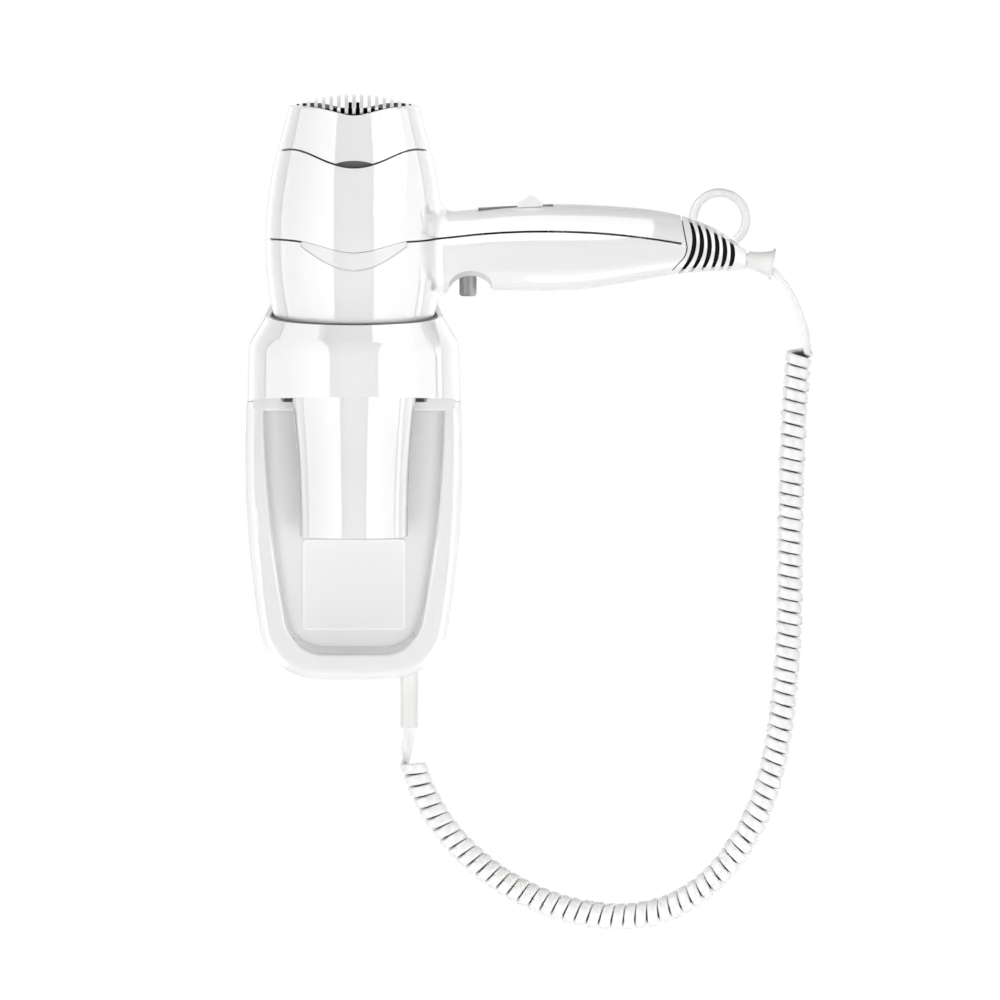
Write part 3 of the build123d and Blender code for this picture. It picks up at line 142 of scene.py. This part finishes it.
links.new(light_path.outputs["Is Transmission Ray"], seen_all.inputs[1])
links.new(seen_all.outputs[0], mix.inputs["Fac"])
links.new(soft.outputs[0], mix.inputs[1])
links.new(white.outputs[0], mix.inputs[2])
links.new(mix.outputs[0], output.inputs["Surface"])
print("world light", WORLD_LIGHT)

# %% [markdown]
# ## Soft boxes
#
# In a studio, white plastic stands among large soft boxes, so that no lamp shows as a hard spot.
# Area lights do the same. The one in front makes the white white, and weaker ones above, below, at
# the sides and behind keep every other side readable. None of them shows in the gloss, which is
# drawn by the cards further down, so the plain level and the gloss can be set one by one.

# %% Soft boxes
SOFT_BOXES = (
    # name, azimuth and elevation in degrees, distance, width and height in metres, power in watts
    ("soft_box_right", 60, 0, 1.5, 1.6, 2.2, 2),
    ("soft_box_left", -60, 0, 1.5, 1.6, 2.2, 2),
    ("side_fill_right", 140, 5, 2.4, 1.2, 1.0, 12),
    ("side_fill_left", -140, 5, 2.4, 1.2, 1.0, 12),
    ("back_fill", 180, 10, 2.4, 1.6, 1.0, 24),
    ("front_fill", 0, -4, 2.4, 1.6, 0.8, 37.5),
    ("top_light", 5, 72, 1.4, 1.3, 0.9, 7),
    ("under_light", 5, -72, 0.5, 0.7, 0.35, 0.6),
)


def lamp(name, azimuth, elevation, distance, width, height, power, aim=VIEW_CENTRE, gloss=False):
    """An area light turned towards a point. Azimuth 0 is the camera's side, positive is right."""
    data = bpy.data.lights.new(name, "AREA")
    data.shape = "RECTANGLE"
    data.size = width
    data.size_y = height
    data.energy = power
    light = bpy.data.objects.new(name, data)
    bpy.context.scene.collection.objects.link(light)
    turn, lift = math.radians(azimuth), math.radians(elevation)
    level = math.cos(lift)
    away = Vector((math.sin(turn) * level, -math.cos(turn) * level, math.sin(lift)))
    light.location = aim + away * distance
    light.rotation_euler = away.to_track_quat("Z", "Y").to_euler()
    light.visible_camera = False
    light.visible_diffuse = not gloss
    light.visible_glossy = gloss


for soft_box in SOFT_BOXES:
    lamp(*soft_box)
print("soft boxes:", len(SOFT_BOXES), "with", sum(box[-1] for box in SOFT_BOXES), "W")

# %% [markdown]
# ## Gloss along the handle
#
# The handle has a broad bright band along its top and a thin one under its rear half. They are
# mirrored light, so no paint can give them. Two small lamps close to the handle make them: they
# show only in the gloss, and the plain level of the plastic stays as it is.

# %% Handle lamps
HANDLE_MIDDLE = Vector((0.1, -0.052, 0.127))
HANDLE_REAR = Vector((0.142, -0.052, 0.127))
HANDLE_LAMPS = (
    ("handle_gloss_high", 0, 45, 0.086, 0.13, 0.106, 0.14, HANDLE_MIDDLE),
    ("handle_gloss_low", 0, -73, 0.103, 0.115, 0.04, 0.02, HANDLE_REAR),
)

for handle_lamp in HANDLE_LAMPS:
    lamp(*handle_lamp, gloss=True)
print("handle lamps:", [handle_lamp[0] for handle_lamp in HANDLE_LAMPS])

# %% [markdown]
# ## Cards for the gloss
#
# White gloss plastic is drawn by what it mirrors. A grey stripe between bright sides runs down the
# middle of the barrel, the collar and the nozzle: that is a dark studio behind the camera, between
# bright walls. A picture wrapped around the scene could give it, but a few shining cards are easier
# to place: a dim strip bent up behind the camera, and a wall at each side in two stretches. They
# light nothing, cast no shadow and show in reflections alone.

# %% Card helper
def card(name, verts, faces, light):
    """A shining surface that shows only in reflections."""
    mesh = bpy.data.meshes.new(name)
    mesh.from_pydata(verts, [], faces)
    surface = bpy.data.objects.new(name, mesh)
    bpy.context.scene.collection.objects.link(surface)
    surface.visible_camera = False
    surface.visible_diffuse = False
    surface.visible_shadow = False
    paint = bpy.data.materials.new(name)
    paint.use_nodes = True
    shader = paint.node_tree.nodes["Principled BSDF"]
    shader.inputs["Base Color"].default_value = (0, 0, 0, 1)
    shader.inputs["Specular IOR Level"].default_value = 0.0
    shader.inputs["Emission Color"].default_value = (1, 1, 1, 1)
    shader.inputs["Emission Strength"].default_value = light
    mesh.materials.append(paint)
    print("card", name, "of", len(faces), "panels, light", light)


# %% Dim strip
STRIP_DISTANCE = 3.2
STRIP_HALF = STRIP_DISTANCE * math.tan(math.radians(26))
STRIP_SPAN = (-50, 80)
STRIP_STEP = 10
STRIP_LIGHT = 0.2

strip_verts = []
for elevation in range(STRIP_SPAN[0], STRIP_SPAN[1] + 1, STRIP_STEP):
    lift = math.radians(elevation)
    for side in (-1, 1):
        y, z = -STRIP_DISTANCE * math.cos(lift), STRIP_DISTANCE * math.sin(lift)
        strip_verts.append((side * STRIP_HALF, y, z))
strip_faces = [(i, i + 1, i + 3, i + 2) for i in range(0, len(strip_verts) - 2, 2)]
card("dim_strip", strip_verts, strip_faces, STRIP_LIGHT)

# %% Bright walls
WALL_HIGH = 2.5
WALL_STRETCHES = ((-3.2, 0.54, 3.0), (0.62, 4.0, 1.9))  # from Y, to Y, light

for side, wall in ((-1, "wall_left"), (1, "wall_right")):
    x = side * STRIP_HALF
    for number, (near, far, light) in enumerate(WALL_STRETCHES):
        low = [(x, near, -WALL_HIGH), (x, far, -WALL_HIGH)]
        high = [(x, far, WALL_HIGH), (x, near, WALL_HIGH)]
        card(f"{wall}_{number}", low + high, [(0, 1, 2, 3)], light)

# %% [markdown]
# ## Floor
#
# A pale floor lies well below the hanging cord and takes the object's shadow. A white one would
# burn out under the lamps, so it is matt paint with a slight glow that only the eye sees. It is
# kept out of the gloss, where it would show as a pale patch across the grey stripe.

# %% Floor
FLOOR_DROP = 0.35
FLOOR_HALF = 3.0
FLOOR_PAINT = (0.9, 0.9, 0.9, 1)
FLOOR_ROUGHNESS = 0.9
FLOOR_PALE = 0.25

floor_z = CAD_BOX[0][2] - FLOOR_DROP
floor_mesh = bpy.data.meshes.new("floor")
corners = [(x * FLOOR_HALF, y * FLOOR_HALF) for x, y in ((-1, -1), (1, -1), (1, 1), (-1, 1))]
floor_mesh.from_pydata([(x, y, floor_z) for x, y in corners], [], [(0, 1, 2, 3)])
floor = bpy.data.objects.new("floor", floor_mesh)
bpy.context.scene.collection.objects.link(floor)
floor_paint = bpy.data.materials.new("floor_paint")
floor_paint.use_nodes = True
nodes, links = floor_paint.node_tree.nodes, floor_paint.node_tree.links
floor_shader = nodes["Principled BSDF"]
floor_shader.inputs["Base Color"].default_value = FLOOR_PAINT
floor_shader.inputs["Roughness"].default_value = FLOOR_ROUGHNESS
floor_shader.inputs["Emission Color"].default_value = (1, 1, 1, 1)
eye = nodes.new("ShaderNodeLightPath")
pale = nodes.new("ShaderNodeMath")
pale.operation = "MULTIPLY"
pale.inputs[1].default_value = FLOOR_PALE
links.new(eye.outputs["Is Camera Ray"], pale.inputs[0])
links.new(pale.outputs["Value"], floor_shader.inputs["Emission Strength"])
floor_mesh.materials.append(floor_paint)
floor.visible_glossy = False
print("floor at", round(floor_z, 3))

# %% [markdown]
# ## The curly cord: its hanging line
#
# The cord is a flat twin lead. It leaves the gland under the holder, is wound into a long curl that
# hangs in a loop, and rises to the trumpet-shaped bush on the handle. The line of the loop is a
# smooth NURBS through a few control points, the same that place the solid.

# %% Smooth lines
def smooth_line(name, points, resolution):
    """Points along a NURBS spline with these control points, in metres."""
    curve = bpy.data.curves.new(name, "CURVE")
    curve.dimensions = "3D"
    spline = curve.splines.new("NURBS")
    spline.points.add(len(points) - 1)
    for control, point in zip(spline.points, points):
        control.co = (*point, 1.0)
    spline.order_u = 3
    spline.use_endpoint_u = True
    spline.resolution_u = resolution
    holder = bpy.data.objects.new(name, curve)
    bpy.context.scene.collection.objects.link(holder)
    bpy.context.view_layer.update()
    evaluated = holder.evaluated_get(bpy.context.evaluated_depsgraph_get())
    mesh = bpy.data.meshes.new_from_object(evaluated)
    line = [vertex.co.copy() for vertex in mesh.vertices]
    bpy.data.objects.remove(holder)
    bpy.data.curves.remove(curve)
    bpy.data.meshes.remove(mesh)
    print(name, "of", len(points), "control points gives", len(line), "points")
    return line


def lengths(line):
    """Distance from the start at each point of a line."""
    total = [0.0]
    for a, b in zip(line, line[1:]):
        total.append(total[-1] + (b - a).length)
    return total


# %% Hanging line
CURL_LINE = (
    (29.8, -22.9, -136.5),
    (32.2, -23.0, -146.5),
    (48.0, -23.0, -173.5),
    (72.6, -25.0, -194.6),
    (100.7, -27.5, -207.8),
    (130.0, -30.0, -213.3),
    (157.5, -33.0, -209.2),
    (183.0, -36.5, -191.8),
    (203.0, -40.0, -160.5),
    (212.9, -43.0, -123.0),
    (217.0, -45.0, -80.0),
    (218.0, -46.5, -38.0),
    (218.4, -47.0, 2.0),
    (219.7, -46.6, 40.0),
    (222.4, -46.2, 72.0),
)
HANG_RESOLUTION = 40

hang = smooth_line("hanging_line", [Vector(point) * MM for point in CURL_LINE], HANG_RESOLUTION)
hang_at = lengths(hang)
print("hanging line", round(hang_at[-1], 4), "m")

# %% [markdown]
# ## The curly cord: its curls
#
# Each curl stands off the hanging line by the curl radius, and turns to the left as it goes up. A
# screw modifier winds only straight up, so the turns are worked out on the line itself. A spline
# cuts inside its control points, and the points are set out a little to make up for it.

# %% Curls
CURLS = 79
CURL_R = 4.85 * MM
CURL_STEPS = 16
CURL_PHASE = math.radians(156)
CURL_TWIST = math.radians(46)


def on_line(line, at, distance):
    """Place and direction on a line at a distance from its start."""
    distance = min(max(distance, 0.0), at[-1])
    low, high = 0, len(at) - 1
    while high - low > 1:
        middle = (low + high) // 2
        low, high = (middle, high) if at[middle] <= distance else (low, middle)
    share = (distance - at[low]) / (at[high] - at[low])
    return line[low].lerp(line[high], share), (line[high] - line[low]).normalized()


def curl_frame(turn):
    """Centre of the curl and its radial direction after a number of turns."""
    centre, ahead = on_line(hang, hang_at, hang_at[-1] * turn / CURLS)
    side = ahead.cross(Vector((0, 1, 0))).normalized()
    back = side.cross(ahead)
    angle = 2 * math.pi * turn + CURL_PHASE + CURL_TWIST * turn / CURLS
    return centre, side * math.cos(angle) + back * math.sin(angle)


set_out = 1 / math.cos(math.pi / CURL_STEPS) ** 0.5
curl_points = []
for step in range(CURLS * CURL_STEPS + 1):
    centre, radial = curl_frame(step / CURL_STEPS)
    curl_points.append(centre + radial * CURL_R * set_out)
print(CURLS, "curls of radius", CURL_R, "m, set out by", round(set_out, 4))

# %% [markdown]
# ## The curly cord: its leads
#
# At both ends the wire leaves the curl as a short lead, down out of the gland and up into the bush.
# Leads made as pieces of their own would meet the curl at a kink. Here the leads and the curls are
# control points of one more NURBS, so the wire runs on smoothly from end to end.

# %% Wire from end to end
LEAD_BEND = 4.6 * MM
LEAD_NEAR = Vector((0, 0, LEAD_BEND / 2))
LEAD_FAR = Vector((0, 0, 2 * LEAD_BEND))
LOWER_LEAD = (
    (27.6, -17.0, -109.3),
    (27.6, -17.0, -119.8),
    (27.4, -17.0, -124.0),
)
UPPER_LEAD = (
    (220.6, -52.0, 96.8),
    (214.6, -52.0, 107.4),
    (206.6, -52.0, 115.2),
    (201.5, -52.0, 117.0),
)
WIRE_RESOLUTION = 3

start, end = curl_points[0], curl_points[-1]
into = start - (curl_points[1] - start).normalized() * LEAD_BEND
out_of = end + (end - curl_points[-2]).normalized() * LEAD_BEND
wire_points = [Vector(point) * MM for point in LOWER_LEAD]
wire_points += [into + LEAD_FAR, into + LEAD_NEAR]
wire_points += curl_points
wire_points += [out_of + LEAD_NEAR, out_of + LEAD_FAR]
wire_points += [Vector(point) * MM for point in UPPER_LEAD]
wire = smooth_line("wire_line", wire_points, WIRE_RESOLUTION)
wire_at = lengths(wire)
print("wire", round(wire_at[-1], 3), "m")

# %% [markdown]
# ## The curly cord: its flat skin
#
# A bevelled curve would make a round wire, but this one is flat with round edges, so its skin is
# built ring by ring. A ring of points is set square to the wire at every step. Its thin way points
# away from the hanging line, as a flat lead lies when it is wound on a mandrel, and its wide way
# fills the pitch but for a narrow gap.

# %% Ring of the flat wire
WIRE_WIDE = 5.1 * MM
WIRE_THIN = 3.3 * MM
WIRE_RING = 16
WIRE_SQUARE = 0.5

ring_profile = []
for k in range(WIRE_RING):
    angle = 2 * math.pi * k / WIRE_RING
    c, s = math.cos(angle), math.sin(angle)
    wide = math.copysign(abs(c) ** WIRE_SQUARE, c) * WIRE_WIDE / 2
    thin = math.copysign(abs(s) ** WIRE_SQUARE, s) * WIRE_THIN / 2
    ring_profile.append((wide, thin))
print("ring of", len(ring_profile), "points,", WIRE_WIDE, "by", WIRE_THIN, "m")

# %% Which way the wire lies
HANG_SKIP = 4
LEAD_TURN = 4 * LEAD_BEND


def nearest_at(point):
    """Distance along the wire of its point nearest to a place."""
    return min(zip(wire_at, wire), key=lambda pair: (pair[1] - point).length_squared)[0]


hang_samples = hang[::HANG_SKIP]
first_at, last_at = nearest_at(start), nearest_at(end)


def thin_way(point, ahead, at):
    """Direction of the wire's thin side: away from the hanging line, or as the leads lie."""
    if at < first_at:
        return Vector((0, -1, 0)).lerp(curl_frame(0)[1], max(2 * at / first_at - 1, 0))
    if at > last_at:
        sideways = Vector((ahead.z, 0, -ahead.x))
        return curl_frame(CURLS)[1].lerp(sideways, min((at - last_at) / LEAD_TURN, 1))
    return point - min(hang_samples, key=lambda sample: (sample - point).length_squared)


print("curls run from", round(first_at, 4), "to", round(last_at, 4), "m along the wire")

# %% Skin of the cord
verts, faces = [], []
for i, point in enumerate(wire):
    ahead = (wire[min(i + 1, len(wire) - 1)] - wire[max(i - 1, 0)]).normalized()
    out = thin_way(point, ahead, wire_at[i])
    out = (out - ahead * out.dot(ahead)).normalized()
    across = ahead.cross(out)
    verts += [point + across * wide + out * thin for wide, thin in ring_profile]
for i in range(len(wire) - 1):
    for k in range(WIRE_RING):
        a, b = i * WIRE_RING + k, i * WIRE_RING + (k + 1) % WIRE_RING
        faces.append((a, b, b + WIRE_RING, a + WIRE_RING))
last_ring = (len(wire) - 1) * WIRE_RING
faces.append(tuple(reversed(range(WIRE_RING))))
faces.append(tuple(range(last_ring, last_ring + WIRE_RING)))
cord_mesh = bpy.data.meshes.new("cord")
cord_mesh.from_pydata(verts, [], faces)
cord_mesh.polygons.foreach_set("use_smooth", [True] * len(faces))
cord = bpy.data.objects.new("cord", cord_mesh)
bpy.context.scene.collection.objects.link(cord)
print("cord skin", len(verts), "points")

# %% Inner side of the curls, marked for painted shade
curl_shade_mask = cord_mesh.attributes.new("curl_shade_mask", "FLOAT", "POINT")
ring_shade_mask = [max(-2 * thin / WIRE_THIN, 0.0) for wide, thin in ring_profile]
curl_rings = [first_at <= at <= last_at for at in wire_at]
curl_shade_mask.data.foreach_set("value", [x * curled for curled in curl_rings for x in ring_shade_mask])
print("inner side marked on", sum(curl_rings), "of", len(curl_rings), "rings")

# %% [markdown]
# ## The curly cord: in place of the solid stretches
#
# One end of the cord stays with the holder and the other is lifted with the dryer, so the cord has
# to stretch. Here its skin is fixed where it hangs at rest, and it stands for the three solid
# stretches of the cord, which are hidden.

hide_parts("cord_lower_lead", "curly_cord", "cord_upper_lead")
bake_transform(cord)

# %% [markdown]
# ## Finishes
#
# A moulded shell is nearly even, so its detail is slight: a faint unevenness of the white, a trace
# of ripple in the gloss and a clear top layer. Soft pieces are duller and have a fine grain.
# Pictures of such surfaces could be wrapped on, but noise in the object's own space needs no
# unwrapping and has the right size on every piece. One helper makes them all.

# %% Finish helper
CLOUD_SCALE = 18.0
CLOUD_DETAIL = 2.0
CLOUD_ENDS = (0.3, 0.7)
GRAIN_DETAIL = 3.0
GRAIN_HEIGHT = 0.2
COAT_ROUGHNESS = 0.02


def finish(name, colour, spread, roughness, grain, bump, coat=0.0, metallic=0.0, ior=1.5):
    """A material whose colour and surface vary a little, at a grain given in metres."""
    material = bpy.data.materials.new(name)
    material.use_nodes = True
    nodes, links = material.node_tree.nodes, material.node_tree.links
    shader = nodes["Principled BSDF"]
    shader.inputs["Roughness"].default_value = roughness
    shader.inputs["Metallic"].default_value = metallic
    shader.inputs["IOR"].default_value = ior
    shader.inputs["Coat Weight"].default_value = coat
    shader.inputs["Coat Roughness"].default_value = COAT_ROUGHNESS
    place = nodes.new("ShaderNodeTexCoord")
    clouds = nodes.new("ShaderNodeTexNoise")
    clouds.inputs["Scale"].default_value = CLOUD_SCALE
    clouds.inputs["Detail"].default_value = CLOUD_DETAIL
    ramp = nodes.new("ShaderNodeValToRGB")
    darker, lighter = ramp.color_ramp.elements
    darker.position, lighter.position = CLOUD_ENDS
    darker.color = (*[max(c - spread, 0) for c in colour], 1)
    lighter.color = (*[min(c + spread, 1) for c in colour], 1)
    fine = nodes.new("ShaderNodeTexNoise")
    fine.inputs["Scale"].default_value = 1.0 / grain
    fine.inputs["Detail"].default_value = GRAIN_DETAIL
    relief = nodes.new("ShaderNodeBump")
    relief.inputs["Strength"].default_value = bump
    relief.inputs["Distance"].default_value = grain * GRAIN_HEIGHT
    links.new(place.outputs["Object"], clouds.inputs["Vector"])
    links.new(place.outputs["Object"], fine.inputs["Vector"])
    links.new(clouds.outputs["Fac"], ramp.inputs["Fac"])
    links.new(ramp.outputs["Color"], shader.inputs["Base Color"])
    links.new(fine.outputs["Fac"], relief.inputs["Height"])
    links.new(relief.outputs["Normal"], shader.inputs["Normal"])
    print("finish", name, colour, "roughness", roughness)
    return material


# %% Whites
FINISHES = {
    "white_shell": finish(
        "gloss_white", (0.8, 0.8, 0.8), spread=0.008, roughness=0.08,
        grain=0.006, bump=0.02, coat=1.0,
    ),
    "inner_white": finish(
        "inner_white", (0.76, 0.76, 0.74), spread=0.015, roughness=0.5, grain=0.001, bump=0.1,
    ),
    "label_white": finish(
        "label_white", (0.8, 0.8, 0.8), spread=0.008, roughness=0.32, grain=0.0015, bump=0.05,
    ),
    "soft_white": finish(
        "soft_white", (0.74, 0.74, 0.73), spread=0.015, roughness=0.38, grain=0.0012, bump=0.08,
    ),
    "cord_white": finish(
        "cord_white", (0.82, 0.82, 0.81), spread=0.012, roughness=0.3,
        grain=0.0015, bump=0.02, coat=0.2,
    ),
}

# %% Greys and blacks
FINISHES["pale_grey"] = finish(
    "pale_grey", (0.74, 0.74, 0.74), spread=0.01, roughness=0.25, grain=0.002, bump=0.05, coat=0.4,
)
FINISHES["charcoal"] = finish(
    "charcoal", (0.05, 0.05, 0.055), spread=0.01, roughness=0.45, grain=0.0008, bump=0.15,
)
FINISHES["trim_grey"] = finish(
    "trim_grey", (0.1, 0.1, 0.105), spread=0.015, roughness=0.4, grain=0.0008, bump=0.1,
)
# Painted shade in part: the pieces seen through the intake slots take this near black, with a low
# IOR for little gloss, so that the slots read as deep shade.
FINISHES["black"] = finish(
    "black_and_intake_shade", (0.008, 0.008, 0.008), spread=0.003, roughness=0.6,
    grain=0.0008, bump=0.15, ior=1.15,
)

# %% Metal and mica
FINISHES["button_silver"] = finish(
    "button_silver", (0.26, 0.26, 0.27), spread=0.02, roughness=0.35,
    grain=0.0006, bump=0.1, metallic=0.3,
)
FINISHES["steel"] = finish(
    "steel", (0.55, 0.55, 0.55), spread=0.03, roughness=0.3, grain=0.0008, bump=0.1, metallic=1.0,
)
FINISHES["mica"] = finish(
    "mica", (0.55, 0.48, 0.36), spread=0.05, roughness=0.5, grain=0.002, bump=0.2,
)

# %% [markdown]
# ## Painted shade inside the curls
#
# Between two curls the eye falls on the inner side of the wire, which lies in deep shade. Under
# soft light that shade renders too pale to part the curls, and a second, darker wire would add a
# piece that isn't there. So the marked inner side is painted dark grey: painted shade, on a white
# cord.

# %% Painted shade in the hollow of the curls
# Painted shade: this dark grey on the inner side of the wire stands in for the shade between the
# curls.
PAINTED_SHADE_GREY = (0.1, 0.1, 0.1, 1)


def second_colour(material, colour, share):
    """Mix a second colour into a finish, by a share that another node gives."""
    nodes, links = material.node_tree.nodes, material.node_tree.links
    base = nodes["Principled BSDF"].inputs["Base Color"]
    first = base.links[0].from_socket
    mix = nodes.new("ShaderNodeMix")
    mix.data_type = "RGBA"
    links.new(share, mix.inputs["Factor"])
    links.new(first, mix.inputs["A"])
    mix.inputs["B"].default_value = colour
    links.new(mix.outputs["Result"], base)


inner_side = FINISHES["cord_white"].node_tree.nodes.new("ShaderNodeAttribute")
inner_side.attribute_name = "curl_shade_mask"
second_colour(FINISHES["cord_white"], PAINTED_SHADE_GREY, inner_side.outputs["Fac"])
print("hollow of the curls", PAINTED_SHADE_GREY[:3])

# %% [markdown]
# ## Frame of the label panel
#
# The panel on the tray floor has a thin raised frame around a plain field. The frame's rounded edge
# catches the light as a bright line, and it is painted a lighter white for it: a painted highlight.
# Two materials on two sets of faces would do, but the solid's mesh stays as it is, so one material
# tells frame from field by how far it lies behind the panel's front.

# %% Painted highlight on the frame
# Painted highlight: the frame's lighter white stands in for the light caught by its edge.
FRAME_HIGHLIGHT_WHITE = (0.89, 0.89, 0.89, 1)
FIELD_DEPTH = 0.00015

panel_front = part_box("label_panel")[0][1]
nodes, links = FINISHES["label_white"].node_tree.nodes, FINISHES["label_white"].node_tree.links
place = nodes.new("ShaderNodeTexCoord")
axes = nodes.new("ShaderNodeSeparateXYZ")
raised = nodes.new("ShaderNodeMath")
raised.operation = "LESS_THAN"
raised.inputs[1].default_value = panel_front + FIELD_DEPTH
links.new(place.outputs["Object"], axes.inputs["Vector"])
links.new(axes.outputs["Y"], raised.inputs[0])
second_colour(FINISHES["label_white"], FRAME_HIGHLIGHT_WHITE, raised.outputs["Value"])
print("panel front at Y", round(panel_front, 4), "frame", FRAME_HIGHLIGHT_WHITE[:3])

# %% [markdown]
# ## Finishes on the pieces
#
# Each solid names the finish that it takes. Two dark pieces that the eye meets first, the lens in
# the seam of the cap and the strip under the slide switch, are a lighter grey than the dark plastic
# inside.
# The strip is a dark grey plate. The grey ring seen in the cap's lens and seam stands in for the
# shade
# in them: painted shade. They could be repainted by hand later, but a short list keeps the choice
# in one place.

# %% Put the finishes on
# Painted shade: cap_ring takes its grey for the shade in the cap's seam and lens; switch_bezel is a
# dark grey plate.
OWN_FINISH = {"cap_ring": "trim_grey", "switch_bezel": "trim_grey"}

for subpart in frame["record"]["subparts"]:
    mesh = frame["nodes"][subpart["node"]].data
    mesh.materials.clear()
    mesh.materials.append(FINISHES[OWN_FINISH.get(subpart["node"], subpart["material_slot"])])
cord_mesh.materials.append(FINISHES["cord_white"])
print("finishes:", sorted(FINISHES))

# %% [markdown]
# ## The spring over the push button
#
# The steel spring sits unseen in the handle and is pressed short by the button. A copy of its mesh
# takes its place, with a mesh of its own, and goes with the dryer.

spring = bpy.data.objects.new("return_spring", frame["nodes"]["button_spring"].data.copy())
bpy.context.scene.collection.objects.link(spring)
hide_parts("button_spring")
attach(spring, "dryer")
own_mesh(spring)
